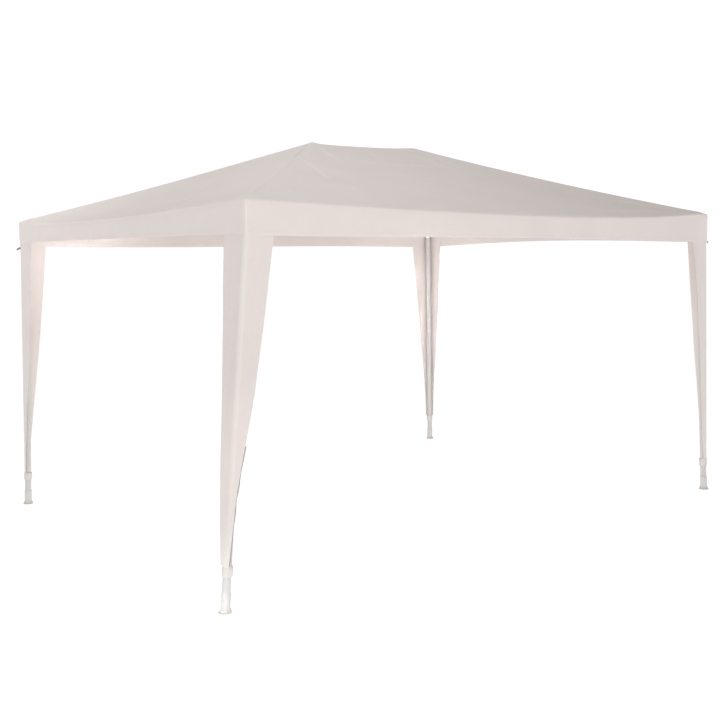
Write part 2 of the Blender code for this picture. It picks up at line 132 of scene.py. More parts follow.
# Leg skirts: flap widths at these heights, for the flap along X and the flap along Y
FLAP_HEIGHTS = (0.205, 0.43, 0.56, 0.85, 1.09, 1.70, 1.885)
FLAPS_ALONG_X = {
    "front_left": (0.01, 0.0236, 0.031, 0.072, 0.108, 0.152, 0.165),
    "front_right": (0.046, 0.066, 0.067, 0.068, 0.078, 0.118, 0.146),
    "back_left": (0.038, 0.05, 0.064, 0.096, 0.122, 0.171, 0.186),
    "back_right": (0.044, 0.052, 0.062, 0.086, 0.114, 0.180, 0.199),
}
FLAPS_ALONG_Y = {
    "front_left": (0.044, 0.074, 0.085, 0.11, 0.134, 0.185, 0.2),
    "front_right": (0.04, 0.056, 0.065, 0.084, 0.104, 0.132, 0.14),
    "back_left": (0.04, 0.054, 0.069, 0.104, 0.124, 0.182, 0.199),
    "back_right": (0.04, 0.052, 0.063, 0.086, 0.104, 0.151, 0.165),
}
SKIRT_END = 0.205
SKIRT_TOP = 1.920
SKIRT_INSET_TOP = 0.0038
SKIRT_INSET_END = 0.0012
SKIRT_REACH = 0.0256
SKIRT_HEM = 0.011
SKIRT_HEM_BULGE = 0.0008
SKIRT_HEM_STEPS = (0, 0.0005, 0.0015, 0.004, 0.0065, 0.0085, 0.0097, 0.0108, 0.013)
SKIRT_RADII = (0.0215, 0.012, 0.014, 0.013)
SKIRT_UV_STEP = 3.1
WRAP_START = 0.244
WRAP_END = 0.230

# The dark strip at a flap's free edge, a closure strip whose dark colour is painted shade for the shadow
# line there: how far it peeks out, its ends and its depths behind the flap's face
SHADOW_STRIP_PEEK = 0.0065
SHADOW_STRIP_BOTTOM = 0.238
SHADOW_STRIP_TOP = 0.83
SHADOW_STRIP_DEPTHS = (-0.0016, -0.0028)

# The strap round a skirt's lower end; its levels are the rows of its mesh, from one edge to the other
COLLAR_BOTTOM = 0.183
COLLAR_TOP = 0.233
COLLAR_RADIUS = 0.0262
COLLAR_THICKNESS = 0.0014
COLLAR_TURNS = 1.13
COLLAR_OVERLAP = 0.0019
COLLAR_LEVELS = (0, 0.0006, 0.002, 0.006, 0.014, 0.026, 0.038, 0.046, 0.050, 0.0514, 0.052)

# Frame tubes and connectors
LEG_RADIUS = 0.022
RAIL_RADIUS = 0.0125
TUBE_WALL = 0.001
TUBE_LIP = 0.0003
TUBE_SIDES = 40
TUBE_WEAR_REACH = 0.012
GAP = 0.0003
SWAGE_LENGTH = 0.060
SWAGE_TAPER = 0.003
SWAGE_LIP = 0.0005
SWAGE_LIP_DEPTH = 0.0004
LEG_JOINT_HEIGHT = 1.02
HUB_RADIUS = 0.0205
HUB_DROP = 0.022
HUB_CLEARANCE = 0.0035
HUB_RIM = 0.002
LEG_STUB = 0.045
RAIL_STUB = 0.055
HIP_STUB = 0.070
PEG_LENGTH = 0.045
PEG_BEVEL = 0.001
STUB_WEAR_REACH = 0.008
PEAK_HUB_RADIUS = 0.014
PEAK_HUB_BOTTOM = 2.522
PEAK_ARM_ROOT = 0.0085
HIP_DROP = 0.018484
RIDGE_DROP = 0.016871
HIP_ROWS = 8
WELD_SIZE = 0.0019
WELD_STEPS = 72
WELD_SIDES = 10

# Spring buttons: size, and places from a tube's ends
BUTTON_SIZE = 0.0032
BUTTON_SIDES = 16
FOOT_BUTTON_SIZE = 0.0034
FOOT_BUTTON_HEIGHT = 0.036
LEG_BUTTONS = (0.026, 0.028)
RAIL_BUTTONS = (0.024, 0.026)

# Feet
FOOT_FLANGE_RADIUS = 0.036
FOOT_FLANGE = 0.005
FOOT_RIM = 0.0024
FOOT_FLARE_TOP = 0.026
FOOT_FLARE_RADIUS = 0.0315
FOOT_SLEEVE_RADIUS = 0.0250
FOOT_HEIGHT = 0.100
FOOT_FLOOR = 0.010
FOOT_SIDES = 56
RIB_HALF_THICKNESS = 0.0009
RIB_ROOT = 0.0205

# Guy loops
LOOP_REACH = 0.030
LOOP_DROOP = 0.014
LOOP_STRAIGHT = 0.007
LOOP_HEIGHT = 0.014
LOOP_STRAP = 0.016
LOOP_HALF_THICKNESS = 0.00055
LOOP_EYE = 0.0012
LOOP_ROOT = 0.006
LOOP_SHIFTS = {"front_right": 0.038, "back_left": 0.024, "back_right": 0.026}

# Stitching; each stitch is a lens of six points
STITCH_PITCH = 0.0052
STITCH_LENGTH = 0.0038
STITCH_WIDTH = 0.0009
SEAM_ROW = 0.006
STITCH_FACES = ((0, 2, 1), (0, 3, 2), (0, 4, 3), (0, 1, 4), (5, 1, 2), (5, 2, 3), (5, 3, 4), (5, 4, 1))

# Corners counter-clockwise, each with its signs along X and Y, and the way of the side after each
CORNERS = {
    "front_left": (-1, -1),
    "front_right": (1, -1),
    "back_right": (1, 1),
    "back_left": (-1, 1),
}
CORNER_ORDER = list(CORNERS)
WAYS = np.array([(1, 0, 0), (0, 1, 0), (-1, 0, 0), (0, -1, 0)])

# Sides of the eave, each with the corners that its rails run between
RAIL_RUNS = (
    ("front", "front_left", "front_right"),
    ("back", "back_left", "back_right"),
    ("left", "front_left", "back_left"),
    ("right", "front_right", "back_right"),
)

# Edges sharper than this stay sharp; points nearer than this are joined
CREASE = math.radians(35)
MERGE_DISTANCE = 0.000002


# Materials

# Colours and amounts of the cover's cloth
HEM_WHITE_AND_HIGHLIGHT_TONE = (0.92, 0.86, 0.82, 1)
PALER_LOW_TONE = (0.92, 0.89, 0.865, 1)
SEAM_DIRT_AND_SHADE_TONE = (0.72, 0.68, 0.64)
CLOTH_LIGHT = 1.025
CLOTH_DARK = 0.965
CLOTH_ROUGHNESS = 0.62
TAPE_HEIGHT = 0.000022
CRUMPLE_HEIGHT = 0.0022
CREASE_HEIGHT = 0.0009
PUCKER_HEIGHT = 0.0016
PUCKER_REACH = 0.055
BARE_STEEL = (0.30, 0.28, 0.26, 1)


class Recipe:
    """A node tree that is written down one node at a time; each call gives the new node's output."""

    def __init__(self, name):
        self.material = bpy.data.materials.new(name)
        self.material.use_nodes = True
        self.nodes = self.material.node_tree.nodes
        self.links = self.material.node_tree.links
        self.shader = self.nodes["Principled BSDF"]

    def feed(self, socket, value):
        """Links an output to a socket, or sets the socket to a value."""
        if isinstance(value, bpy.types.NodeSocket):
            self.links.new(value, socket)
        else:
            socket.default_value = value

    def node(self, kind, inputs=(), output=0, **settings):
        """A new node with its settings and its inputs; gives the output that is named or counted."""
        item = self.nodes.new(kind)
        for key, value in settings.items():
            setattr(item, key, value)
        for key, value in dict(inputs).items():
            self.feed(item.inputs[key], value)
        return item.outputs[output]

    def coordinates(self, kind):
        """The piece's own UV map, or its Object coordinates."""
        return self.node("ShaderNodeTexCoord", output=kind)

    def part(self, vector, axis):
        """One coordinate of a vector: X, Y or Z."""
        return self.node("ShaderNodeSeparateXYZ", {0: vector}, axis)

    def kept(self, name):
        """A number that is kept on the piece's points."""
        return self.node("ShaderNodeAttribute", output="Fac", attribute_name=name)

    def maths(self, operation, *values):
        """One step of arithmetic on some values."""
        return self.node("ShaderNodeMath", dict(enumerate(values)), operation=operation)

    def times(self, first, second):
        """The product of two values."""
        return self.maths("MULTIPLY", first, second)

    def total(self, *terms):
        """The sum of some values, each times its weight."""
        result = 0.0
        for value, weight in terms:
            result = self.maths("ADD", result, self.times(value, weight))
        return result

    def noise(self, vector, scale, detail, roughness, **settings):
        """Noise over a vector; a larger scale makes its grains smaller."""
        inputs = {"Vector": vector, "Scale": scale, "Detail": detail, "Roughness": roughness}
        return self.node("ShaderNodeTexNoise", inputs, **settings)

    def blend(self, factor, first, second):
        """Mixes two colours; the Mix node keeps its colour sockets at places 6 and 7."""
        return self.node("ShaderNodeMix", {0: factor, 6: first, 7: second}, 2, data_type="RGBA")

    def span(self, value, low, high, new_low=0.0, new_high=1.0):
        """The straight line that carries low and high to new ends, kept between them."""
        inputs = {"Value": value, "From Min": low, "From Max": high, "To Min": new_low, "To Max": new_high}
        return self.node("ShaderNodeMapRange", inputs, clamp=True)

    def stretch(self, vector, *scale):
        """A vector with each axis times its own scale; a smaller one makes a pattern longer that way."""
        return self.node("ShaderNodeMapping", {"Vector": vector, "Scale": scale})

    def bump(self, height):
        """Bump whose height is in metres."""
        return self.node("ShaderNodeBump", {"Height": height, "Strength": 1.0, "Distance": 1.0})

    def surface(self, **values):
        """Sets the shader's sockets; a name's underscores stand for spaces."""
        for key, value in values.items():
            self.feed(self.shader.inputs[key.replace("_", " ")], value)
        return self.material


def tinted(colour, tone=(1, 1, 1)):
    """A colour times a tone, with its alpha."""
    return tuple(part * share for part, share in zip(colour, tone)) + (1,)


def cover_cloth(name, tint, weave):
    """Woven cover cloth: crossed tapes, soft crumples, packing creases and puckers along the seams.

    The tapes are the product of two sines of the cloth's own coordinates. Crumples and creases are
    noise; puckers are noise that fades with the distance from a seam. Doubled hems are whiter.
    Sharp creases and the rounded corners get a painted highlight, the seams a faint painted shade
    with a little dirt, and the cloth is paler towards the ground.
    """
    recipe = Recipe(name)
    place = recipe.coordinates("UV")
    seam = recipe.kept("seam")
    warp, weft = (recipe.maths("SINE", recipe.times(recipe.part(place, axis), math.pi / weave))
                  for axis in "XY")
    crumple = recipe.noise(place, 5.0, 4.0, 0.55)
    stretched = recipe.stretch(place, 0.6, 1.0, 1.0)
    crease = recipe.noise(stretched, 3.0, 5.0, 0.6, noise_type="RIDGED_MULTIFRACTAL")
    pucker = recipe.noise(place, 42.0, 2.0, 0.4)
    near = recipe.maths("POWER", recipe.span(seam, 0.0, PUCKER_REACH, 1.0, 0.0), 2.0)
    height = recipe.total((recipe.times(warp, weft), TAPE_HEIGHT), (crumple, CRUMPLE_HEIGHT),
                          (crease, CREASE_HEIGHT), (recipe.times(pucker, near), PUCKER_HEIGHT))
    cloudy = recipe.noise(place, 2.6, 3.0, 0.6)
    fine = recipe.noise(place, 60.0, 2.0, 0.5)
    shade = recipe.span(recipe.total((cloudy, 1.0), (fine, 0.25)), 0.35, 0.9)
    colour = recipe.blend(shade, tinted(tint, (CLOTH_LIGHT,) * 3), tinted(tint, (CLOTH_DARK,) * 3))
    # Painted shade with a little dirt: a faint darker tone within 10 mm of a seam, hem or fold
    colour = recipe.blend(recipe.span(seam, 0.0, 0.010, 0.02, 0.0), colour, tinted(tint, SEAM_DIRT_AND_SHADE_TONE))
    # Doubled hems turn whiter; sharp creases and rounded corners get a painted highlight, from the points'
    # kept values
    colour = recipe.blend(recipe.times(recipe.kept("hem_white_and_highlight"), 0.5), colour, HEM_WHITE_AND_HIGHLIGHT_TONE)
    # Paler towards the ground: up to a quarter of a paler tone at 0.2 m, none from 0.6 m up
    level = recipe.part(recipe.coordinates("Object"), "Z")
    colour = recipe.blend(recipe.span(level, 0.20, 0.60, 0.25, 0.0), colour, PALER_LOW_TONE)
    gloss = recipe.span(fine, 0.3, 0.7, CLOTH_ROUGHNESS - 0.06, CLOTH_ROUGHNESS + 0.06)
    return recipe.surface(Base_Color=colour, Roughness=gloss, Normal=recipe.bump(height), Sheen_Weight=0.08,
                          Sheen_Roughness=0.5, Specular_IOR_Level=0.35)


def thread_finish():
    """Sewing thread: pale, twisted, with a fine bump across each stitch."""
    recipe = Recipe("cover_thread")
    twist = recipe.noise(recipe.coordinates("Object"), 1800.0, 1.0, 0.5)
    colour = recipe.blend(twist, (0.84, 0.78, 0.74, 1), (0.74, 0.68, 0.65, 1))
    return recipe.surface(Base_Color=colour, Roughness=0.6, Normal=recipe.bump(recipe.times(twist, 0.0001)))


def coated_steel(name, colour, roughness):
    """Powder coat: a fine orange peel, and bare steel showing through chips where the wear is high."""
    recipe = Recipe(name)
    place = recipe.coordinates("Object")
    peel = recipe.noise(place, 900.0, 2.0, 0.5)
    cloud = recipe.span(recipe.noise(place, 7.0, 3.0, 0.6), 0.3, 0.7)
    scuff = recipe.noise(recipe.stretch(place, 1.0, 1.0, 0.25), 260.0, 4.0, 0.65)
    chips = recipe.span(recipe.total((scuff, 1.0), (recipe.kept("wear"), 0.22)), 0.84, 0.88)
    tone = recipe.blend(cloud, tinted(colour), tinted(colour, (0.93,) * 3))
    tone = recipe.blend(chips, tone, BARE_STEEL)
    height = recipe.total((peel, 0.00004), (chips, -0.0001))
    gloss = recipe.span(scuff, 0.3, 0.7, roughness - 0.05, roughness + 0.1)
    return recipe.surface(Base_Color=tone, Metallic=recipe.times(chips, 0.8), Roughness=gloss,
                          Normal=recipe.bump(height), Coat_Weight=0.15, Coat_Roughness=0.3)


def moulded_plastic():
    """Matt moulded plastic: fine spark grain, faint flow marks and scuffs low on the flange."""
    recipe = Recipe("foot_plastic")
    place = recipe.coordinates("Object")
    grain = recipe.noise(place, 1500.0, 2.0, 0.6)
    flow = recipe.noise(recipe.stretch(place, 1.0, 1.0, 3.0), 18.0, 3.0, 0.6)
    low = recipe.span(recipe.part(place, "Z"), 0.0, 0.03, 1.0, 0.0)
    scuff = recipe.noise(recipe.stretch(place, 1.0, 1.0, 4.0), 120.0, 5.0, 0.7)
    marks = recipe.times(recipe.span(scuff, 0.48, 0.62, 0.0, 0.7), low)
    tone = recipe.blend(recipe.span(flow, 0.3, 0.7), (0.70, 0.68, 0.66, 1), (0.64, 0.62, 0.60, 1))
    tone = recipe.blend(marks, tone, (0.46, 0.43, 0.40, 1))
    return recipe.surface(Base_Color=tone, Roughness=recipe.span(grain, 0.3, 0.7, 0.42, 0.56),
                          Normal=recipe.bump(recipe.times(grain, 0.00008)))


def dark_webbing(name, dark, light):
    """Ribbed webbing: ribs across the strap and finer yarns along it, as sines of its own lengths."""
    recipe = Recipe(name)
    place = recipe.coordinates("UV")
    ribs, yarns = (recipe.maths("SINE", recipe.times(recipe.part(place, axis), 2 * math.pi / pitch))
                   for axis, pitch in (("X", 0.0016), ("Y", 0.0011)))
    tone = recipe.blend(recipe.noise(place, 700.0, 3.0, 0.6), tinted(dark), tinted(light))
    height = recipe.total((ribs, 0.00009), (yarns, 0.000045))
    return recipe.surface(Base_Color=tone, Roughness=0.85, Normal=recipe.bump(height), Sheen_Weight=0.2)


COVER_TINT = (0.785, 0.715, 0.684)
CLOTH_FINISH = cover_cloth("cover_woven_cloth", COVER_TINT, 0.0016)
TAPE_FINISH = cover_cloth("cover_binding_tape", tuple(part * 0.83 for part in COVER_TINT), 0.0009)
THREAD_FINISH = thread_finish()
TUBE_FINISH = coated_steel("tube_powder_coat", (0.66, 0.635, 0.615), 0.34)
CONNECTOR_FINISH = coated_steel("connector_powder_coat", (0.68, 0.655, 0.635), 0.40)
FOOT_FINISH = moulded_plastic()
LOOP_FINISH = dark_webbing("loop_webbing", (0.13, 0.13, 0.13), (0.27, 0.265, 0.26))
# Dark webbing of the strip at the near skirt's flap edge, painted shade for the shadow line there
SHADOW_CLOSURE_FINISH = dark_webbing("shadow_closure_strip_webbing", (0.27, 0.265, 0.26), (0.42, 0.41, 0.40))


# Mesh tools

def unit(vector):
    """Vectors brought to a length of one."""
    vector = np.asarray(vector, float)
    return vector / np.linalg.norm(vector, axis=-1, keepdims=True)


def run_along(path):
    """The length of a path up to each of its points."""
    return np.concatenate([[0], np.cumsum(np.linalg.norm(np.diff(path, axis=0), axis=1))])


def spots_on(path, run, at):
    """Points of a path, or its other vectors, at some lengths along it."""
    return np.stack([np.interp(at, run, path[:, k]) for k in range(3)], axis=-1)


def circle(side, other, count):
    """Unit steps round a circle, from side towards other."""
    angle = np.linspace(0, 2 * math.pi, count, endpoint=False)[:, None]
    return side * np.cos(angle) + other * np.sin(angle)


def paired(first, second):
    """Two grids as one grid of pairs."""
    return np.stack(np.broadcast_arrays(first, second), axis=-1)


def there_and_back(grid):
    """A grid's rows in order and then in reverse order."""
    return np.concatenate([grid, grid[::-1]])


def grid_faces(rows, columns, round_rows=False, round_columns=False):
    """The corner numbers of a grid's faces, for points stored row by row; a round way joins its ends."""
    row = np.arange(rows if round_rows else rows - 1)[:, None]
    column = np.arange(columns if round_columns else columns - 1)[None, :]
    next_row = (row + 1) % rows
    next_column = (column + 1) % columns
    corners = (row * columns + column, row * columns + next_column,
               next_row * columns + next_column, next_row * columns + column)
    return np.stack(np.broadcast_arrays(*corners), axis=-1).reshape(-1, 4)


def add_item(name, data):
    """An object in the scene that holds some data."""
    item = bpy.data.objects.new(name, data)
    bpy.context.scene.collection.objects.link(item)
    return item


def add_mesh(name, points, faces, finish):
    """A mesh piece of the one body, before its values and creases."""
    mesh = bpy.data.meshes.new(name)
    mesh.from_pydata(points.tolist(), [], faces.tolist())
    mesh.materials.append(finish)
    item = add_item(name, mesh)
    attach(item, "root")
    return item, mesh


def add_piece(name, points, faces, finish, uv=None, values=None, crease=CREASE):
    """A piece from points and four-cornered faces: doubles are merged and faces are turned outwards.

    The signed volume, a sixth of the sum of the triple products of each face's two triangles, says
    whether the faces point outwards.
    """
    points = points.reshape(-1, 3)
    first, second, third, fourth = (points[faces[:, k]] for k in range(4))
    if np.sum(first * (np.cross(second, third) + np.cross(third, fourth))) < 0:
        faces = faces[:, ::-1]
    item, mesh = add_mesh(name, points, faces, finish)
    if uv is not None:
        layer = mesh.uv_layers.new(name="UVMap")
        layer.data.foreach_set("uv", uv.reshape(-1, 2)[faces.ravel()].astype(np.float32).ravel())
    for key, value in (values or {}).items():
        attribute = mesh.attributes.new(key, "FLOAT", "POINT")
        attribute.data.foreach_set("value", value.astype(np.float32).ravel())
    merge_doubles(mesh)
    mesh.shade_smooth()
    mesh.set_sharp_from_angle(angle=crease)
    return item


def merge_doubles(mesh):
    """Joins points that coincide, such as those of seams and poles."""
    shape = bmesh.new()
    shape.from_mesh(mesh)
    bmesh.ops.remove_doubles(shape, verts=shape.verts, dist=MERGE_DISTANCE)
    shape.to_mesh(mesh)
    shape.free()


def joined(parts):
    """Several parts as one set; each part is its points, its faces and any values of its points."""
    starts = np.cumsum([0] + [len(part[0]) for part in parts])
    faces = np.concatenate([part[1] + start for part, start in zip(parts, starts)])
    points, _, *values = (np.concatenate(column) for column in zip(*parts))
    return points, faces, *values


def add_bars(name, parts, finish, node):
    """A piece of several turned parts with their wear, in place of a solid."""
    points, faces, wear = joined(parts)
    item = add_piece(name, points, faces, finish, values={"wear": wear})
    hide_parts(node)


def add_sheet(name, outer, inner, finish, run, level, values=None, round_columns=False):
    """A closed sheet between an outer and an inner grid: rims join them along every open edge.

    run and level are the cloth's own coordinates.
    """
    rows, columns = outer.shape[:2]
    faces = [grid_faces(2 * rows, columns, True, round_columns)]
    if not round_columns:
        row = np.arange(rows - 1)
        for column in (0, columns - 1):
            near = row * columns + column
            far = (2 * rows - 1 - row) * columns + column
            quads = np.stack([near, near + columns, far - columns, far], axis=-1)
            faces.append(quads if column else quads[:, ::-1])
    values = {key: there_and_back(value) for key, value in (values or {}).items()}
    points = np.concatenate([outer, inner[::-1]])
    uv = there_and_back(paired(run, level))
    return add_piece(name, points, np.concatenate(faces), finish, uv, values)


def grid_normals(points, round_columns=False):
    """Unit normals of a grid: the cross product of the steps along its columns and its rows."""
    wide = points
    if round_columns:
        wide = np.concatenate([points[:, -1:], points, points[:, :1]], axis=1)
    along = np.gradient(wide, axis=1)
    if round_columns:
        along = along[:, 1:-1]
    return unit(np.cross(along, np.gradient(points, axis=0)))


def bow(share):
    """A parabola: 0 at both ends of a span, where share is 0 or 1, and 1 in the middle."""
    return 4 * share * (1 - share)


def bell(distance, reach):
    """1 at no distance, falling off as the exponential of less the square of the distance."""
    return np.exp(-(distance / reach) ** 2)


def ease(value, low, high):
    """0 below low, 1 above high and a smooth S between them."""
    share = np.clip((value - low) / (high - low), 0, 1)
    return share * share * (3 - 2 * share)


def gathered_ends(count, power=1.5):
    """Places from -1 to 1 that crowd towards both ends: one less a power of the distance to the end."""
    even = np.linspace(-1, 1, count)
    return np.sign(even) * (1 - (1 - np.abs(even)) ** power)


# Roof and valance

def outline(place):
    """The cover's plan, counter-clockwise, one unit of place a side, in half lengths and half widths.

    Returns the two plan shares, the share across the side, from -1 to 1, and the side's number.
    """
    whole = np.floor(place)
    side = whole.astype(int) % 4
    across = 2 * (place - whole) - 1
    one = np.ones_like(across)
    wide = np.choose(side, (across, one, -across, -one))
    deep = np.choose(side, (-one, across, one, -across))
    return wide, deep, across, side


def half_span(long_side, up):
    """Half the roof's length, or half its width, at a share up."""
    return np.where(long_side, HALF_LENGTH + (HALF_RIDGE - HALF_LENGTH) * up, HALF_WIDTH * (1 - up))


def at_corner(values, x, y):
    """The value of the corner that a plan point is nearest to, from values in CORNER_ORDER."""
    front = np.where(x < MIDDLE, values[0], values[1])
    back = np.where(x < MIDDLE, values[3], values[2])
    return np.where(y < 0, front, back)


def corner_bell(values, reach, x, y):
    """The value of the nearest corner, fading with the distance from it."""
    away = np.hypot(np.abs(x - MIDDLE) - HALF_LENGTH, np.abs(y) - HALF_WIDTH)
    return at_corner(values, x, y) * bell(away, reach)


def round_corners(x, y):
    """Turns the square corners of the plan into arcs and pushes the cloth out round them.

    Within the corner square, u and v run 0 to 1 outwards; they become u * sqrt(1 - v*v/2) and
    v * sqrt(1 - u*u/2), which carries the square's outer sides onto a quarter circle.
    """
    radius = at_corner(CORNER_RADII, x, y)
    u = (np.abs(x - MIDDLE) - (HALF_LENGTH - radius)) / radius
    v = (np.abs(y) - (HALF_WIDTH - radius)) / radius
    inside = (u > 0) & (v > 0)
    new_u = np.where(inside, u * np.sqrt(np.maximum(1 - v * v / 2, 0)), u)
    new_v = np.where(inside, v * np.sqrt(np.maximum(1 - u * u / 2, 0)), v)
    x = MIDDLE + np.sign(x - MIDDLE) * (HALF_LENGTH - radius + new_u * radius)
    y = np.sign(y) * (HALF_WIDTH - radius + new_v * radius)
    push = corner_bell(CORNER_FLARES, FLARE_REACH, x, y)
    return x + np.sign(x - MIDDLE) * push, y + np.sign(y) * push


def eave_sag(side, across):
    """Sag of the eave: a parabola that leans to one end of its side."""
    deepest, lean = np.choose(side, EAVE_SAGS), np.choose(side, EAVE_LEANS)
    return deepest * (1 - across ** 2) * (1 + lean * across + 0.5 * np.abs(lean) * across ** 2)


def lower_edge(side, across):
    """Height of the valance's lower edge.

    A straight line between two corners, a low arch, a twist that is a cubic through both ends, and
    a lift that holds its height up to the corners, as one less the eighth power of the share does.
    """
    first = np.choose(side, BOTTOM_CORNERS)
    second = np.choose(side, BOTTOM_CORNERS[1:] + BOTTOM_CORNERS[:1])
    arch, twist, lift, lean = (np.choose(side, row) for row in
                               (BOTTOM_ARCHES, BOTTOM_TWISTS, BOTTOM_LIFTS, BOTTOM_LEANS))
    open_share = 1 - across ** 2
    line = (first + second) / 2 + (second - first) / 2 * across
    held = (lift + lean * across) * (1 - across ** 8)
    return line + arch * open_share ** 1.3 + twist * across * open_share + held


def soft_fold(x, y, start, end, height, width):
    """A crease: a bell across the line from start to end, times the root of a parabola along it."""
    line = np.subtract(end, start)
    length = np.hypot(*line)
    along = ((x - start[0]) * line[0] + (y - start[1]) * line[1]) / length ** 2
    away = ((x - start[0]) * line[1] - (y - start[1]) * line[0]) / length
    return height * bell(away, width) * np.sqrt(bow(np.clip(along, 0, 1)))


def fan(x, y, centre, height, reach, waves, phase):
    """Folds that fan out from a point: a cosine of the angle round it, fading in and out with distance."""
    away = np.hypot(x - centre[0], y - centre[1])
    angle = np.arctan2(y - centre[1], x - centre[0])
    strength = (away / reach) ** 2 * np.exp(2 * (1 - away / reach))
    return height * strength * np.cos(waves * angle + phase)


# Single folds of the roof: start, end, height and half width
ROOF_FOLDS = (
    ((0.42, -0.05), (0.60, -0.60), 0.0026, 0.030),
    ((-0.45, -0.02), (-0.83, -0.380), -0.0090, 0.012),
    ((-0.47, -0.10), (-0.83, -0.44), 0.0030, 0.014),
    ((-0.62, -0.10), (-1.30, -0.22), 0.0024, 0.030),
    ((-0.55, 0.12), (-1.05, 0.60), 0.0020, 0.035),
    ((-1.90, -1.36), (-1.22, -0.765), -0.0020, 0.030),
    ((1.98, -1.47), (1.05, -1.30), 0.0060, 0.040),
    ((1.90, -1.43), (0.90, -1.37), -0.0050, 0.025),
    ((1.96, -1.43), (1.20, -1.02), -0.0040, 0.040),
    ((0.40, 0.10), (0.70, 0.80), 0.0026, 0.030),
    ((-0.35, 0.12), (-0.30, 0.70), 0.0026, 0.030),
    ((0.70, 0.05), (1.40, 0.15), 0.0024, 0.030),
    ((0.10, 0.60), (0.90, 0.64), 0.0022, 0.016),
    ((-1.20, 0.35), (-1.15, -0.30), 0.0022, 0.016),
    ((1.32, 0.33), (1.28, -0.36), 0.0022, 0.016),
)

# Sharp packing creases; along them the cloth's colour is painted lighter, a painted highlight
SHARP_CREASES = (
    ((-0.41, -0.08), (-0.48, -0.42), 0.0075, 0.011),
    ((-0.83, -0.43), (-0.94, -0.92), 0.0080, 0.012),
    ((0.035, -0.04), (-0.025, -0.30), 0.0045, 0.011),
    ((-0.34, -0.412), (0.54, -0.400), 0.0040, 0.011),
    ((-0.42, -0.03), (-0.78, -0.42), 0.0020, 0.009),
)


def crease_highlight(x, y):
    """Painted highlight along the sharp creases: 1 on a crease, fading across it."""
    highest = SHARP_CREASES[0][2]
    white = [soft_fold(x, y, start, end, height / highest, width)
             for start, end, height, width in SHARP_CREASES]
    return np.minimum(np.max(white, axis=0), 1)


def roof_wrinkles(x, y):
    """How far the wrinkles lift the roof: fans at the corners and peaks and broad waves."""
    lift = 0.0012 * np.sin(5.1 * x + 2.2 * y + 0.4) * np.sin(3.7 * y - 1.9 * x + 1.1)
    lift = lift + 0.0007 * np.sin(11.3 * x - 4.2 * y + 2.0) * np.sin(9.1 * y + 3.3 * x + 0.3)
    for number, (side, depth) in enumerate(CORNERS.values()):
        centre = (MIDDLE + side * HALF_LENGTH, depth * HALF_WIDTH)
        lift = lift + fan(x, y, centre, 0.0016, 0.34, 17, 1.3 * number)
    for side in (-1, 1):
        lift = lift + fan(x, y, (MIDDLE + side * HALF_RIDGE, 0), 0.0012, 0.30, 11, 0.6 * side)
    return lift


def hip_distance(across, up, long_side):
    """Plan distance of a roof point from the nearest hip."""
    return (1 - np.abs(across)) * half_span(long_side, up) * math.sqrt(0.5)


def seam_distance(across, up, long_side):
    """Plan distance of a roof point from the nearest hip or the ridge."""
    from_hip = hip_distance(across, up, long_side)
    return np.where(long_side, np.minimum(from_hip, HALF_WIDTH * (1 - up)), from_hip)


def roof_surface(place, up, fall=0.0, inset=0.0):
    """Points of the roof, place round the outline and up from the eave, 0, to the ridge, 1.

    The plan shrinks in a straight line to the ridge. The height is a straight rise less the
    parabolic sags of hip, eave and panel and the dip of the ridge, plus folds and wrinkles, which
    fade out at the eave; wrinkles stay small over the hips. A felled seam stands proud along hips
    and ridge. fall lowers a point and inset draws it in.
    """
    wide, deep, across, side = outline(place)
    long_side = side % 2 == 0
    from_edge = HALF_WIDTH * up
    x = MIDDLE + wide * (half_span(True, up) - inset)
    y = deep * (half_span(False, up) - inset * (up < 1))
    eave = eave_sag(side, across)
    sag = HIP_SAG * bow(up) + eave * (1 - up) ** 2 + PANEL_SAG * (1 - across ** 2) * bow(up)
    spread = np.where(wide < 0, LEFT_DIP_SPREAD, RIGHT_DIP_SPREAD)
    dip = np.where(long_side, RIDGE_DIP * (1 - np.abs(wide) ** spread), 0) * up ** RIDGE_DIP_POWER
    peak = (PEAK_LIFT + RIDGE_TILT * wide) * up ** PEAK_POWER
    off_hip = 0.1 + 0.9 * ease(hip_distance(across, up, long_side), 0.0, 0.12)
    off_ridge = 0.4 + 0.6 * ease(HALF_WIDTH - from_edge, 0.0, 0.10)
    wrinkles = roof_wrinkles(x, y) * ease(from_edge, 0.012, 0.10) * off_hip * off_ridge
    slack = np.maximum(eave - SLACK_OVER_RAIL, 0) + LEAST_SLACK
    over_rail = slack * bell(from_edge - RAIL_INSET, RAIL_FOLD_WIDTH)
    on_seam = 1 - ease(seam_distance(across, up, long_side), SEAM_HALF_WIDTH, SEAM_HALF_WIDTH + 0.003)
    felled = SEAM_RISE * on_seam * ease(from_edge, 0.01, 0.03)
    folds = sum(soft_fold(x, y, *fold) for fold in ROOF_FOLDS + SHARP_CREASES)
    folds = folds * ease(from_edge, 0.010, 0.06)
    tip = corner_bell(CORNER_TIPS, TIP_REACH, x, y)
    z = EAVE_HEIGHT + RISE * up + peak - sag - dip - fall + wrinkles + folds + over_rail + felled - tip
    return np.stack([*round_corners(x, y), z], axis=-1)


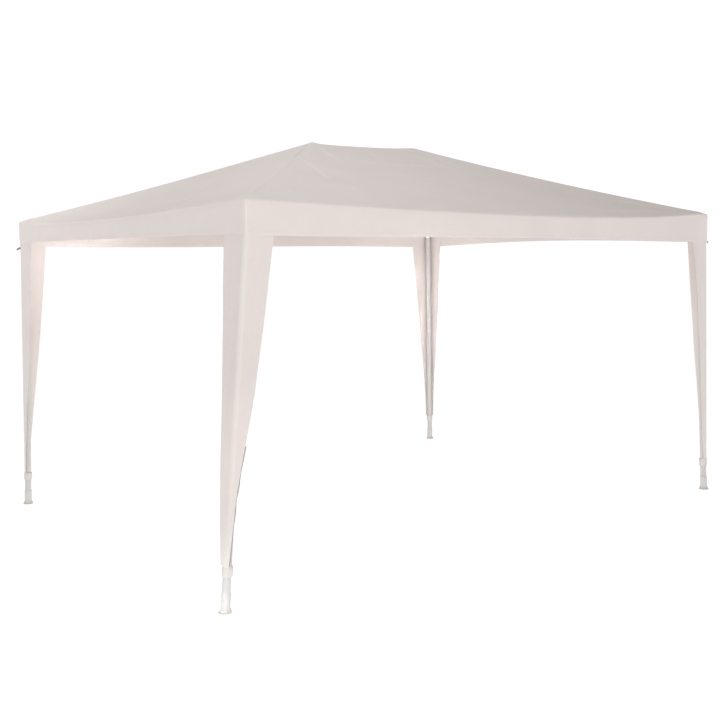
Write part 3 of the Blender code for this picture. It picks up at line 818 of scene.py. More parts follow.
def roof_levels():
    """The roof's rows from the lap's lower edge over the fold to the ridge.

    Each row has a share up, a fall and the sine and cosine of the cloth's tilt. The fold is an arc
    tangent to the valance and to the slope, and the lap hangs straight down from it.
    """
    turn = np.linspace(math.pi / 2, SLOPE_ANGLE, 9)
    fold_in = FOLD_RADIUS * (1 - np.sin(turn))
    fold_fall = math.tan(SLOPE_ANGLE) * fold_in - FOLD_CENTRE - FOLD_RADIUS * np.cos(turn)
    lap = np.array([LAP, LAP - 0.0006, LAP / 2])
    slope = np.concatenate([np.array(ROWS_NEAR_EAVE) / HALF_WIDTH,
                            np.linspace(LAST_ROW_NEAR_EAVE / HALF_WIDTH, 0.975, 60),
                            (0.985, 0.991, 0.9955, 1.0)])
    up = np.concatenate([lap * 0, fold_in / HALF_WIDTH, slope])
    fall = np.concatenate([lap - FOLD_CENTRE, fold_fall, slope * 0])
    tilt = np.concatenate([lap * 0 + math.pi / 2, turn, slope * 0])
    return up, fall, np.sin(tilt), np.cos(tilt)


def build_roof():
    """The roof as one continuous sheet: four panels that share their hips and ridge."""
    up, fall, sine, cosine = (column[:, None] for column in roof_levels())
    parts = []
    for number in range(4):
        long_side = number % 2 == 0
        across = gathered_ends(ROOF_COLUMNS[number % 2])[None, :]
        place = number + (across + 1) / 2 + up * 0
        outer = roof_surface(place, up + place * 0, fall)
        inner = roof_surface(place, up + place * 0, fall + CLOTH * 1.05 * cosine, CLOTH * sine)
        run = across * (HALF_LENGTH if long_side else HALF_WIDTH) * (1 - up) + UV_STEP * number
        uv = paired(run, up * SLOPE_LENGTH - fall)
        from_row = np.abs(seam_distance(across, up, long_side) - SEAM_HALF_WIDTH)
        seam = np.minimum(from_row, up * SLOPE_LENGTH + np.abs(fall))
        wide, deep, _, _ = outline(place)
        # Painted highlight along the sharp creases, kept on the points
        white = crease_highlight(MIDDLE + wide * half_span(True, up), deep * half_span(False, up))
        rows, columns = outer.shape[:2]
        count = rows * columns
        sheet = grid_faces(rows, columns)
        rim = np.arange(columns - 1)
        rim_faces = np.stack([rim + 1, rim, rim + count, rim + 1 + count], axis=-1)
        faces = np.concatenate([sheet, sheet[:, ::-1] + count, rim_faces])
        points = np.concatenate([outer, inner]).reshape(-1, 3)
        parts.append((points, faces, np.tile(uv.reshape(-1, 2), (2, 1)), np.tile(seam.ravel(), 2),
                      np.tile(white.ravel(), 2)))
    points, faces, uv, seam, white = joined(parts)
    values = {"seam": seam, "hem_white_and_highlight": white}
    return add_piece("roof_cover", points, faces, CLOTH_FINISH, uv, values, ROOF_CREASE)


def corner_distance(place):
    """Distance along the outline from the nearest corner."""
    length = np.where(np.floor(place) % 2 == 0, 2 * HALF_LENGTH, 2 * HALF_WIDTH)
    return np.abs(place - np.round(place)) * length


def valance_waves(place, share):
    """How far the valance stands out: waves round the whole outline that grow towards its lower edge."""
    turn = math.pi / 2 * place
    from_corner = corner_distance(place)
    wave = 0.9 * np.sin(13 * turn + 0.5) + 0.7 * np.sin(29 * turn + 1.9) + 0.45 * np.sin(61 * turn + 0.2)
    ripple = 0.35 * np.sin(143 * turn + 2 * np.sin(5 * turn))
    low = 1 - share
    gathers = 0.0007 * np.sin(from_corner * 190) * bell(from_corner, 0.09) * share * bow(share) ** 0.5
    return 0.0017 * low * (wave + ripple * low) * ease(from_corner, 0.17, 0.40) + gathers


def hem_shape(height, width, bulge):
    """A folded hem: rounded lower edge, a flat bulge and the line where the stitches pull it in."""
    round_edge = np.minimum(np.sqrt(bow(np.clip(height / width, 0, 1))) * 1.6, 1)
    return bulge * (round_edge - 0.5 * bell(height - 0.88 * width, 0.06 * width))


def valance_height(side, across, share):
    """Height of a valance point: share runs 0 to 1 from the lower edge; the hem keeps its width."""
    bottom = lower_edge(side, across)
    top = EAVE_HEIGHT - eave_sag(side, across) - VALANCE_TOP_DROP
    in_hem = bottom + share / HEM_SHARE * HEM_ROOM
    above = bottom + HEM_ROOM + (share - HEM_SHARE) / (1 - HEM_SHARE) * (top - bottom - HEM_ROOM)
    return np.where(share < HEM_SHARE, in_hem, above), bottom


def valance_surface(place, share):
    """Points of the valance: the rounded outline, moved out by the hem's shape and the waves."""
    wide, deep, across, side = outline(place)
    z, bottom = valance_height(side, across, share)
    proud = hem_shape(z - bottom, HEM, HEM_BULGE) + valance_waves(place, share) - VALANCE_INSET
    x, y = round_corners(MIDDLE + wide * (HALF_LENGTH + proud), deep * (HALF_WIDTH + proud))
    return np.stack([x, y, z], axis=-1)


def build_valance():
    """The valance as one band round the cover, hemmed along its lower edge."""
    hem_rows = np.array(HEM_LEVELS) / HEM_ROOM * HEM_SHARE
    share = np.concatenate([hem_rows, np.linspace(HEM_SHARE, 1, 13)])[:, None]
    sides = [number + (gathered_ends(VALANCE_COLUMNS[number % 2], 1.3)[:-1] + 1) / 2 for number in range(4)]
    place, share = np.broadcast_arrays(np.concatenate(sides)[None, :], share)
    outer = valance_surface(place, share)
    doubled = HEM_BULGE * 0.8 * (share < HEM_SHARE * 0.85)[..., None]
    inner = outer - grid_normals(outer, True) * (CLOTH + doubled)
    _, _, across, side = outline(place)
    z, bottom = valance_height(side, across, share)
    from_stitches = np.abs(z - bottom - STITCH_LINE * HEM)
    from_fold = np.abs(place - np.round(place)) * 2 * HALF_LENGTH
    seam = np.minimum(np.minimum(from_stitches, from_fold), EAVE_HEIGHT - eave_sag(side, across) - z)
    hem_white = VALANCE_HEM_WHITE * (1 - ease(z - bottom, STITCH_LINE * HEM, 1.1 * HEM))
    # The whiter hem, plus a painted highlight along the rounded corners
    hem_white_and_highlight = hem_white + CORNER_HIGHLIGHT * (1 - ease(corner_distance(place), CORNER_HIGHLIGHT_START, CORNER_HIGHLIGHT_END))
    values = {"seam": seam, "hem_white_and_highlight": hem_white_and_highlight}
    run = run_along(outer[0])[None, :]
    return add_sheet("valance_cloth", outer, inner, CLOTH_FINISH, run, z, values, True)


# Leg skirts

def hub_centre(corner):
    """Where the axes of a leg and its rails meet."""
    side, depth = CORNERS[corner]
    x, y = side * (HALF_LENGTH - RAIL_INSET), depth * (HALF_WIDTH - RAIL_INSET)
    return np.array([MIDDLE + x, y, RAIL_HEIGHT])


def leg_line(corner):
    """The middle of a leg's foot on the ground, and its unit axis up to the hub."""
    low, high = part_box("foot_" + corner)
    foot = np.array([(low.x + high.x) / 2, (low.y + high.y) / 2, 0])
    return foot, unit(hub_centre(corner) - foot)


def on_leg(corner, height):
    """Points of a leg's axis at some heights."""
    foot, axis = leg_line(corner)
    return foot + axis * (np.asarray(height, float) / axis[2])[..., None]


def skirt_place(corner, way, height):
    """How far round a skirt a point lies from the corner, and the width of its flap at that height.

    The flap before a corner that opens the front or the back lies along Y and the one after it along
    X; at the other two corners it is the other way round.
    """
    widths = [np.interp(height, FLAP_HEIGHTS, flaps[corner]) for flaps in (FLAPS_ALONG_X, FLAPS_ALONG_Y)]
    if CORNER_ORDER.index(corner) % 2 == 0:
        widths.reverse()
    width = np.where(np.less(way, 0), *widths)
    return way * width, width


def skirt_surface(corner, way, height, out=0.0):
    """Points of a leg skirt.

    way runs -1 to 1 from the free edge of one flap round the corner to the free edge of the other.
    The section is two straight flaps joined by a quarter circle. Towards the lower end it blends into
    an arc about the leg. The corner runs straight from the cover's corner to the leg.
    """
    number = CORNER_ORDER.index(corner)
    side, depth = CORNERS[corner]
    outward = np.array([side, depth, 0])
    before, after = WAYS[number - 1], WAYS[number]
    run = skirt_place(corner, way, height)[0][..., None]
    share = np.clip((height - SKIRT_END) / (VALANCE_BOTTOM - SKIRT_END), 0, 1)[..., None]
    wrap = ease(WRAP_START - height, 0, WRAP_START - WRAP_END)[..., None]
    tight = SKIRT_REACH - SKIRT_INSET_END
    radius = tight + (SKIRT_RADII[number] - tight) * share
    inset = SKIRT_INSET_END + (SKIRT_INSET_TOP - SKIRT_INSET_END) * share
    flare = CORNER_FLARES[number] * bell(run, FLARE_REACH) * share
    top = np.array([MIDDLE + side * HALF_LENGTH, depth * HALF_WIDTH, 0])
    end = on_leg(corner, SKIRT_END) * (1, 1, 0) + outward * SKIRT_REACH
    quarter = radius * math.pi / 4
    angle = np.clip(run, -quarter, quarter) / radius + math.pi / 4
    face = before * np.sin(angle) - after * np.cos(angle)
    straight = np.where(run < 0, -before, after) * np.maximum(np.abs(run) - quarter, 0)
    sharp = end + (top - end) * share + outward * (flare - inset)
    hanging = sharp + (after - before + face) * radius + straight
    bend = run / tight + math.pi / 4
    round_face = before * np.sin(bend) - after * np.cos(bend)
    wrapped = on_leg(corner, height) * (1, 1, 0) + round_face * tight
    proud = (out + skirt_waves(corner, way, height))[..., None]
    point = (hanging + face * proud) * (1 - wrap) + (wrapped + round_face * proud) * wrap
    point[..., 2] = height
    return point


def skirt_waves(corner, way, height):
    """How far a flap leaves its flat shape: long waves that grow towards the free edge, and a hem."""
    number = CORNER_ORDER.index(corner)
    run, width = skirt_place(corner, way, height)
    below_top = VALANCE_BOTTOM - height
    free = ease(np.abs(way), 0.25, 1.0) * ease(height, 0.30, 0.75) * ease(below_top, 0.06, 0.35)
    sway = 0.0035 * np.sin(4.3 * height + 1.7 * number + np.sign(run) * 0.8)
    sway = sway + 0.0012 * np.sin(13.0 * height + 2.9 * number + np.sign(run) * 1.9)
    crease = 0.0009 * np.sin(run * 95 + 2.0 * np.sin(3.1 * height + number)) * ease(np.abs(run), 0.02, 0.05)
    crease = crease * ease(below_top, 0.03, 0.20) * ease(height, 0.3, 0.6)
    hem = hem_shape(width - np.abs(run), SKIRT_HEM, SKIRT_HEM_BULGE) * ease(below_top, 0.0, 0.04)
    return sway * free + crease + hem


def build_skirt(corner):
    """One leg skirt: hemmed free edges, its top tucked up behind the valance's hem."""
    height = np.concatenate([np.linspace(SKIRT_END - 0.004, WRAP_START, 22)[:-1],
                             np.linspace(WRAP_START, SKIRT_TOP, 120)])
    flank = 1 - np.array(SKIRT_HEM_STEPS) / 0.10
    middle = np.linspace(0, flank[-1], 30)[:-1]
    way = np.concatenate([-flank, -middle[:0:-1], middle, flank[::-1]])
    way, height = np.broadcast_arrays(way[None, :], height[:, None])
    outer = skirt_surface(corner, way, height)
    inner = outer - grid_normals(outer) * CLOTH
    run, width = skirt_place(corner, way, height)
    away = np.abs(run)
    run = run + SKIRT_UV_STEP * (1 + CORNER_ORDER.index(corner))
    seam = np.minimum(np.abs(width - away - STITCH_LINE * SKIRT_HEM), away + 0.004)
    hem_white_and_highlight = SKIRT_HEM_WHITE * ease(away - width, -1.1 * SKIRT_HEM, -STITCH_LINE * SKIRT_HEM)
    # Painted highlight along the skirt's rounded corner, from half a metre up
    hem_white_and_highlight = hem_white_and_highlight + CORNER_HIGHLIGHT * (1 - ease(away, CORNER_HIGHLIGHT_START, CORNER_HIGHLIGHT_END)) * ease(height, 0.5, 1.2)
    values = {"seam": seam, "hem_white_and_highlight": hem_white_and_highlight}
    return add_sheet("leg_skirt_cloth_" + corner, outer, inner, CLOTH_FINISH, run, height, values)


def build_shadow_closure_strip(corner):
    """The dark strip that peeks out of the free edge of the flap along X: a closure strip whose dark colour
    is painted shade for the shadow line along that edge.
    """
    inward = np.array([-SHADOW_STRIP_PEEK, 0.0004 - SHADOW_STRIP_PEEK, 0.0, 0.003, 0.0066, 0.007])
    height = np.linspace(SHADOW_STRIP_BOTTOM, SHADOW_STRIP_TOP, 120)
    inward, height = np.broadcast_arrays(inward[None, :], height[:, None])
    inward = inward - 0.0017 * np.sin(31 * height + 2 * np.sin(11 * height))
    way = 1 - inward / skirt_place(corner, 1, height)[1]
    outer, inner = (skirt_surface(corner, way, height, depth) for depth in SHADOW_STRIP_DEPTHS)
    add_sheet("shadow_closure_strip_" + corner, outer, inner, SHADOW_CLOSURE_FINISH, inward, height)


def build_collar(corner):
    """The strap that closes a skirt's lower end: a strip wound a little over once round the leg."""
    side, depth = CORNERS[corner]
    turn = np.linspace(0, 2 * math.pi * COLLAR_TURNS, 150)[None, :]
    width = COLLAR_TOP - COLLAR_BOTTOM
    share = np.array(COLLAR_LEVELS)[:, None] / COLLAR_LEVELS[-1]
    level = share * width
    pleats = 0.0005 * np.sin(turn * 9 + 0.6 * np.sin(turn * 3)) * (1 - 0.5 * bow(share))
    bulge = 0.0006 * np.sqrt(bow(share))
    radius = COLLAR_RADIUS + COLLAR_OVERLAP * turn / (2 * math.pi) + bulge + pleats
    angle = turn + math.atan2(-depth, -side) - 0.3
    around = np.stack([np.cos(angle), np.sin(angle), 0 * angle], axis=-1)
    outer = on_leg(corner, COLLAR_BOTTOM + level) + radius[..., None] * around
    inner = outer - grid_normals(outer) * COLLAR_THICKNESS
    values = {"seam": np.minimum(level, width - level) + 0.004 + 0 * turn}
    run = turn * COLLAR_RADIUS
    return add_sheet("skirt_collar_" + corner, outer, inner, TAPE_FINISH, run, level, values)


# Stitching

def stitch_parts(path, lift):
    """Stitches along a path: each is a lens of six points, laid along the path on the cloth.

    path is an array of points and lift the unit normals there; stitches are spaced by arc length.
    """
    run = run_along(path)
    count = max(int(run[-1] / STITCH_PITCH), 1)
    at = (np.arange(count) + 0.5) * run[-1] / count
    centre, normal = spots_on(path, run, at), spots_on(lift, run, at)
    along = unit(spots_on(path, run, at + 0.001) - spots_on(path, run, at - 0.001))
    side = np.cross(normal, along)
    half = along * STITCH_LENGTH / 2
    width = STITCH_WIDTH / 2
    points = (centre - half - normal * width * 0.5, centre + side * width, centre + normal * width * 1.3,
              centre - side * width, centre - normal * width * 0.8, centre + half - normal * width * 0.5)
    faces = np.array(STITCH_FACES)[None] + 6 * np.arange(count)[:, None, None]
    return np.stack(points, axis=1).reshape(-1, 3), faces.reshape(-1, 3)


def add_stitches(name, paths):
    """One piece of stitching from several paths, each a pair of points and normals."""
    points, faces = joined([stitch_parts(*path) for path in paths])
    add_mesh(name, points, faces, THREAD_FINISH)[1].shade_smooth()


def path_on(surface, first, second, step_first, step_second):
    """Points of a surface along a line of parameters, with the normals from two small steps."""
    here = surface(first, second)
    along = surface(first + step_first, second) - here
    upward = surface(first, second + step_second) - here
    return here, unit(np.cross(along, upward))


def outward_at(place):
    """Unit vectors that point straight out of the cover's rounded outline."""
    share = np.full_like(place, 0.9)
    along = valance_surface(place + 1e-4, share) - valance_surface(place, share)
    return np.cross(unit(along), (0, 0, 1))


def build_stitching():
    """Rows of stitches: along the valance's hem, the lap at the eave, the roof's seams and the skirts."""
    place = np.linspace(0, 4, 2401)
    hem_share = np.full_like(place, STITCH_LINE * HEM / HEM_ROOM * HEM_SHARE)
    hem = path_on(valance_surface, place, hem_share, 1e-4, 1e-3)
    lap = roof_surface(place, 0 * place, LAP - 0.003 - FOLD_CENTRE)
    add_stitches("valance_stitching", [hem, (lap, outward_at(place))])
    up = np.linspace(0.03, 0.985, 500)
    paths = []
    for number in range(4):
        for end in (-1, 1):
            across = end * (1 - SEAM_ROW * math.sqrt(2) / half_span(number % 2 == 0, up))
            paths.append(path_on(roof_surface, number + (across + 1) / 2, up, 1e-4, 1e-4))
    place = np.linspace(0.02, 0.98, 200)
    for number in (0, 2):
        up = np.full_like(place, 1 - SEAM_ROW / HALF_WIDTH)
        paths.append(path_on(roof_surface, number + place, up, 1e-4, 1e-4))
    add_stitches("roof_seam_stitching", paths)
    height = np.linspace(WRAP_END + 0.004, VALANCE_BOTTOM - 0.004, 500)
    for corner in CORNERS:
        paths = []
        for sign in (-1, 1):
            way = sign * (1 - STITCH_LINE * SKIRT_HEM / skirt_place(corner, sign, height)[1])
            paths.append(path_on(lambda a, b: skirt_surface(corner, a, b), way, height, 1e-3, 1e-3))
        add_stitches("skirt_stitching_" + corner, paths)


# Frame

def ring_axes(axis):
    """Two unit vectors square to an axis and to each other."""
    axis = unit(axis)
    side = unit(np.cross(axis, (0, 1, 0) if abs(axis[0]) > 0.6 else (1, 0, 0)))
    return side, np.cross(axis, side)


def turned(start, axis, stations, radii, wear, sides=TUBE_SIDES, bored=False):
    """A turned part: a circle at each station along its axis, with its own radius and wear.

    A bored part's last ring joins its first one.
    """
    centres = start + axis * stations[:, None]
    points = centres[:, None] + circle(*ring_axes(axis), sides) * radii[:, None, None]
    wear = np.broadcast_to(wear, len(stations))
    return points.reshape(-1, 3), grid_faces(len(stations), sides, bored, True), np.repeat(wear, sides)


def straight_tube(name, start, end, outer, node, swaged=False, buttons=()):
    """A tube between two points; a swaged end narrows over a rounded shoulder to fit the next tube."""
    length = np.linalg.norm(end - start)
    axis = (end - start) / length
    inner = outer - TUBE_WALL
    if swaged:
        narrow = inner - GAP
        bend = np.linspace(0, 1, 6)
        shoulder = length - GAP - SWAGE_TAPER
        taper = shoulder + SWAGE_TAPER * bend
        taper_radii = outer + (narrow - outer) * ease(bend, 0, 1)
        tip = length + SWAGE_LENGTH
        middle = shoulder * 0.5
        stations = np.concatenate([[0, TUBE_LIP, middle], taper, [tip - SWAGE_LIP, tip, tip],
                                   taper[::-1], [middle, TUBE_LIP, 0]])
        radii = np.concatenate([[outer - TUBE_LIP, outer, outer], taper_radii,
                                [narrow, narrow - SWAGE_LIP_DEPTH, narrow - TUBE_WALL],
                                taper_radii[::-1] - TUBE_WALL, [inner, inner, inner + TUBE_LIP]])
    else:
        stations = there_and_back(np.array([0, TUBE_LIP, length / 2, length - TUBE_LIP, length]))
        radii = np.array([outer - TUBE_LIP, outer, outer, outer, outer - TUBE_LIP,
                          inner + TUBE_LIP, inner, inner, inner, inner + TUBE_LIP])
    from_end = np.maximum(np.minimum(stations, length - stations), 0)
    parts = [turned(start, axis, stations, radii, np.exp(-from_end / TUBE_WEAR_REACH), bored=True)]
    for distance, facing in buttons:
        parts.append(button(start + axis * distance, axis, facing, outer))
    add_bars(name, parts, TUBE_FINISH, node)


def button(centre, axis, facing, radius, size=BUTTON_SIZE):
    """A spring button: a small dome, a quarter of an ellipse turned, that stands out of the tube's wall."""
    facing = unit(facing - axis * np.dot(facing, axis))
    bend = np.linspace(0, math.pi / 2, 6)
    rise = np.concatenate([[-0.0008, -0.0008], 0.0002 + 0.0022 * np.sin(bend)])
    width = np.concatenate([[0, size], size * np.cos(bend)])
    return turned(centre, facing, radius + rise, width, 0.9, BUTTON_SIDES)


def arm(centre, axis, root, stub, radius):
    """A connector's arm as a solid turned bar: the stub with a rounded end, then the peg."""
    tip = stub + PEG_LENGTH
    peg = radius - TUBE_WALL - GAP
    stations = np.array([root, root, stub - 0.0006, stub, stub, tip - PEG_BEVEL, tip, tip])
    radii = np.array([0, radius, radius, radius - 0.0005, peg, peg, peg - PEG_BEVEL, 0])
    return turned(centre, axis, stations, radii, np.exp(-np.abs(stations - stub) / STUB_WEAR_REACH))


def weld(centre, axis, radius):
    """The bead where an arm meets its upright hub.

    It runs round the arm where the two round bars meet, at a distance from the hub's axis of the
    root of the hub's radius squared less the sideways part squared, and has the ripples of a weld.
    """
    side = unit(np.cross(axis, (0, 0, 1)))
    angle = np.linspace(0, 2 * math.pi, WELD_STEPS, endpoint=False)
    around = circle(side, np.cross(side, axis), WELD_STEPS)
    reach = np.sqrt(np.maximum(HUB_RADIUS ** 2 - (radius * np.cos(angle)) ** 2, 0))
    path = centre + axis * reach[:, None] + around * radius
    size = WELD_SIZE * (1 + 0.10 * np.sin(angle * 24))[:, None, None]
    points = (path[:, None] + size * circle(around[:, None], axis, WELD_SIDES)).reshape(-1, 3)
    return points, grid_faces(WELD_STEPS, WELD_SIDES, True, True), np.full(len(points), 0.4)


def hub(low, high, radius):
    """A hub: an upright bar whose rims are quarter circles."""
    bend = np.linspace(0, math.pi / 2, 5)
    inset = HUB_RIM * (1 - np.cos(bend))
    rim = radius - HUB_RIM * (1 - np.sin(bend))
    stations = np.concatenate([[0], inset, high[2] - low[2] - inset[::-1], [high[2] - low[2]]])
    radii = np.concatenate([[0], rim, rim[::-1], [0]])
    return turned(low, np.array([0, 0, 1.0]), stations, radii, 0.2)


def hip_axis(corner, up):
    """Points of a hip rafter's axis: a straight line under the cover's hip, less a parabola's sag."""
    side, depth = CORNERS[corner]
    up = np.asarray(up, float)
    x = MIDDLE + side * half_span(True, up)
    z = EAVE_HEIGHT + RISE * up - RAFTER_SAG * bow(up) - HIP_DROP
    return np.stack([x, depth * half_span(False, up), z], axis=-1)


def hip_ends(corner):
    """Where a hip rafter starts and ends, with the directions of its connectors' arms there."""
    bottom, first, last, top = hip_axis(corner, [0, 1 / HIP_ROWS, 1 - 1 / HIP_ROWS, 1])
    upward, downward = unit(first - bottom), unit(last - top)
    start = bottom + upward * (RAIL_INSET * math.sqrt(2) + HIP_STUB)
    return start, upward, top + downward * HIP_STUB, downward


def build_rafter(corner):
    """A hip rafter: a tube carried along the line of the hip, which bends a little under the cover."""
    start, upward, end, downward = hip_ends(corner)
    inner_rows = np.arange(1, HIP_ROWS) / HIP_ROWS
    path = np.concatenate([[start + upward * GAP], hip_axis(corner, inner_rows), [end + downward * GAP]])
    run = run_along(path)
    length = run[-1]
    even = np.concatenate([[0, TUBE_LIP], np.linspace(0.02, length - 0.02, 24), [length - TUBE_LIP, length]])
    smooth = spots_on(path, run, even)
    ahead = unit(np.gradient(smooth, axis=0))
    side = unit(np.cross(ahead, (0, 0, 1)))
    around = circle(side[:, None], np.cross(side, ahead)[:, None], TUBE_SIDES)
    lip = np.zeros((len(even), 1, 1))
    lip[[0, -1]] = TUBE_LIP
    outer = smooth[:, None] + around * (RAIL_RADIUS - lip)
    bore = smooth[:, None] + around * (RAIL_RADIUS - TUBE_WALL + lip)
    wear = there_and_back(np.exp(-np.minimum(even, length - even) / TUBE_WEAR_REACH))
    points = np.concatenate([outer, bore[::-1]]).reshape(-1, 3)
    part = (points, grid_faces(2 * len(even), TUBE_SIDES, True, True), np.repeat(wear, TUBE_SIDES))
    add_bars("hip_rafter_tube_" + corner, [part], TUBE_FINISH, "hip_rafter_" + corner)


def ridge_point(direction):
    """The ridge tube's axis, under a peak."""
    return np.array([MIDDLE + direction * HALF_RIDGE, 0, PEAK_HEIGHT - HUB_TOP_DROP - RIDGE_DROP])


def build_tubes():
    """Legs, eave rails, hip rafters and the ridge tube, each in place of its solid."""
    for corner, (side, depth) in CORNERS.items():
        foot, axis = leg_line(corner)
        joint = on_leg(corner, LEG_JOINT_HEIGHT)
        bottom = foot + axis * (FOOT_FLOOR + GAP)
        top = hub_centre(corner) - axis * (LEG_STUB + GAP)
        inward = (-side, -depth, 0)
        upper_button, lower_button = LEG_BUTTONS
        from_bottom = np.linalg.norm(joint - bottom) - lower_button
        straight_tube("lower_leg_tube_" + corner, bottom, joint, LEG_RADIUS, "leg_lower_" + corner,
                      buttons=[(from_bottom, inward)])
        straight_tube("upper_leg_tube_" + corner, top, joint, LEG_RADIUS, "leg_upper_" + corner, True,
                      buttons=[(upper_button, inward)])
        build_rafter(corner)
    for name, first, second in RAIL_RUNS:
        start, end = hub_centre(first), hub_centre(second)
        middle = (start + end) / 2
        step = unit(end - start) * (RAIL_STUB + GAP)
        near_name, far_name = ("left", "right") if name in ("front", "back") else ("front", "back")
        end_button, joint_button = RAIL_BUTTONS
        half = np.linalg.norm(middle - start - step)
        straight_tube("rail_tube_" + name + "_" + near_name, start + step, middle, RAIL_RADIUS,
                      "eave_rail_" + name + "_" + near_name,
                      buttons=[(end_button, (0, 0, -1)), (half - joint_button, (0, 0, -1))])
        straight_tube("rail_tube_" + name + "_" + far_name, end - step, middle, RAIL_RADIUS,
                      "eave_rail_" + name + "_" + far_name, True, buttons=[(end_button, (0, 0, -1))])
    left, right = ridge_point(-1), ridge_point(1)
    step = unit(right - left) * (RAIL_STUB + GAP)
    straight_tube("ridge_bar_tube", left + step, right - step, RAIL_RADIUS, "ridge_tube")


def build_connectors():
    """Corner and ridge connectors: a hub with arms welded to it."""
    for corner, (side, depth) in CORNERS.items():
        centre = hub_centre(corner)
        cap = min(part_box("corner_connector_" + corner)[1].z, EAVE_HEIGHT - HUB_CLEARANCE)
        start, upward, _, _ = hip_ends(corner)
        parts = [hub(centre - (0, 0, HUB_DROP), np.array([*centre[:2], cap]), HUB_RADIUS),
                 arm(centre, -leg_line(corner)[1], 0.0, LEG_STUB, LEG_RADIUS)]
        for way in (np.array([-side, 0.0, 0.0]), np.array([0.0, -depth, 0.0])):
            parts += [arm(centre, way, 0.0, RAIL_STUB, RAIL_RADIUS), weld(centre, way, RAIL_RADIUS)]
        parts.append(arm(start - upward * HIP_STUB, upward, 0.0, HIP_STUB, RAIL_RADIUS))
        add_bars("corner_fitting_" + corner, parts, CONNECTOR_FINISH,
                 "corner_connector_" + corner)
    for name, direction in (("left", -1), ("right", 1)):
        peak = ridge_point(direction)
        low, high = (np.array([peak[0], 0, z]) for z in (PEAK_HUB_BOTTOM, PEAK_HEIGHT - HUB_TOP_DROP))
        parts = [hub(low, high, PEAK_HUB_RADIUS),
                 arm(peak, np.array([-direction, 0.0, 0.0]), 0.0, RAIL_STUB, RAIL_RADIUS)]
        for depth in ("front_", "back_"):
            _, _, end, downward = hip_ends(depth + name)
            parts.append(arm(end - downward * HIP_STUB, downward, PEAK_ARM_ROOT, HIP_STUB, RAIL_RADIUS))
        add_bars("ridge_fitting_" + name, parts, CONNECTOR_FINISH, "ridge_connector_" + name)


def foot_profile():
    """Heights and radii up the outside of a foot and down its bore.

    The flange has a soft round rim, the flare is a power curve and the sleeve has a small lip.
    """
    bend = np.linspace(0, math.pi / 2, 6)
    rim_rise, rim_out = FOOT_RIM * (1 - np.cos(bend)), FOOT_RIM * np.sin(bend)
    flat = FOOT_FLANGE_RADIUS - FOOT_RIM
    flare = np.linspace(0, 1, 8)[1:]
    flare_rise = FOOT_FLANGE + (FOOT_FLARE_TOP - FOOT_FLANGE) * flare
    flare_out = FOOT_SLEEVE_RADIUS + (FOOT_FLARE_RADIUS - FOOT_SLEEVE_RADIUS) * (1 - flare) ** 2.2
    bore = LEG_RADIUS + 2 * GAP
    sleeve_rise = (0.060, 0.0975, 0.0992, FOOT_HEIGHT, FOOT_HEIGHT, 0.0992, FOOT_FLOOR, FOOT_FLOOR)
    sleeve_out = (FOOT_SLEEVE_RADIUS, FOOT_SLEEVE_RADIUS, FOOT_SLEEVE_RADIUS - 0.0003,
                  FOOT_SLEEVE_RADIUS - 0.0010, bore + 0.0006, bore, bore, 0)
    stations = np.concatenate([[0, 0], rim_rise, FOOT_FLANGE - rim_rise[::-1], flare_rise, sleeve_rise])
    radii = np.concatenate([[0, flat], flat + rim_out, flat + rim_out[::-1], flare_out, sleeve_out])
    return stations, radii


def build_feet():
    """Moulded feet: a round flange with a soft rim, a flare, a sleeve along the leg, ribs and a button.

    The flange lies level; each ring above it tilts towards the leg, square to its own direction.
    """
    stations, radii = foot_profile()
    for corner, (side, depth) in CORNERS.items():
        foot, axis = leg_line(corner)
        up = np.array([0, 0, 1.0])
        lean = ease(stations, FOOT_FLANGE, FOOT_FLARE_TOP)[:, None]
        directions = unit(up * (1 - lean) + axis * lean)
        centres = foot + np.where(stations[:, None] < FOOT_FLANGE, up, directions) * stations[:, None]
        level = circle(np.array([1, 0, 0]), np.array([0, 1, 0]), FOOT_SIDES)
        tilted = unit(level - directions[:, None] * (directions @ level.T)[..., None])
        points = (centres[:, None] + tilted * radii[:, None, None]).reshape(-1, 3)
        parts = [(points, grid_faces(len(stations), FOOT_SIDES, False, True), np.zeros(len(points)))]
        for turn in np.arange(8) * math.pi / 4 + math.pi / 8:
            parts.append(rib(foot, axis, turn))
        inward = np.array([-side, -depth, 0.0])
        place = foot + axis * FOOT_BUTTON_HEIGHT
        parts.append(button(place, axis, inward, FOOT_SLEEVE_RADIUS, FOOT_BUTTON_SIZE))
        add_bars("moulded_foot_" + corner, parts, FOOT_FINISH, "foot_" + corner)


def rib(foot, axis, turn):
    """A gusset between a foot's flange and its sleeve: a thin plate whose free edge is a power curve."""
    out = np.array([math.cos(turn), math.sin(turn), 0])
    side = np.array([-math.sin(turn), math.cos(turn), 0]) * RIB_HALF_THICKNESS
    share = np.linspace(0, 1, 8)
    reach = 0.0215 + 0.0125 * (1 - share) ** 1.8
    rise = foot + axis * (0.0045 + 0.046 * share)[:, None]
    curve = rise + out * reach[:, None]
    inner = rise + out * RIB_ROOT
    rows = np.stack([curve + side, curve - side, inner - side, inner + side], axis=1).reshape(-1, 3)
    ends = np.array([(0, 1, 2, 3), (31, 30, 29, 28)])
    return rows, np.concatenate([grid_faces(8, 4, False, True), ends]), np.zeros(len(rows))


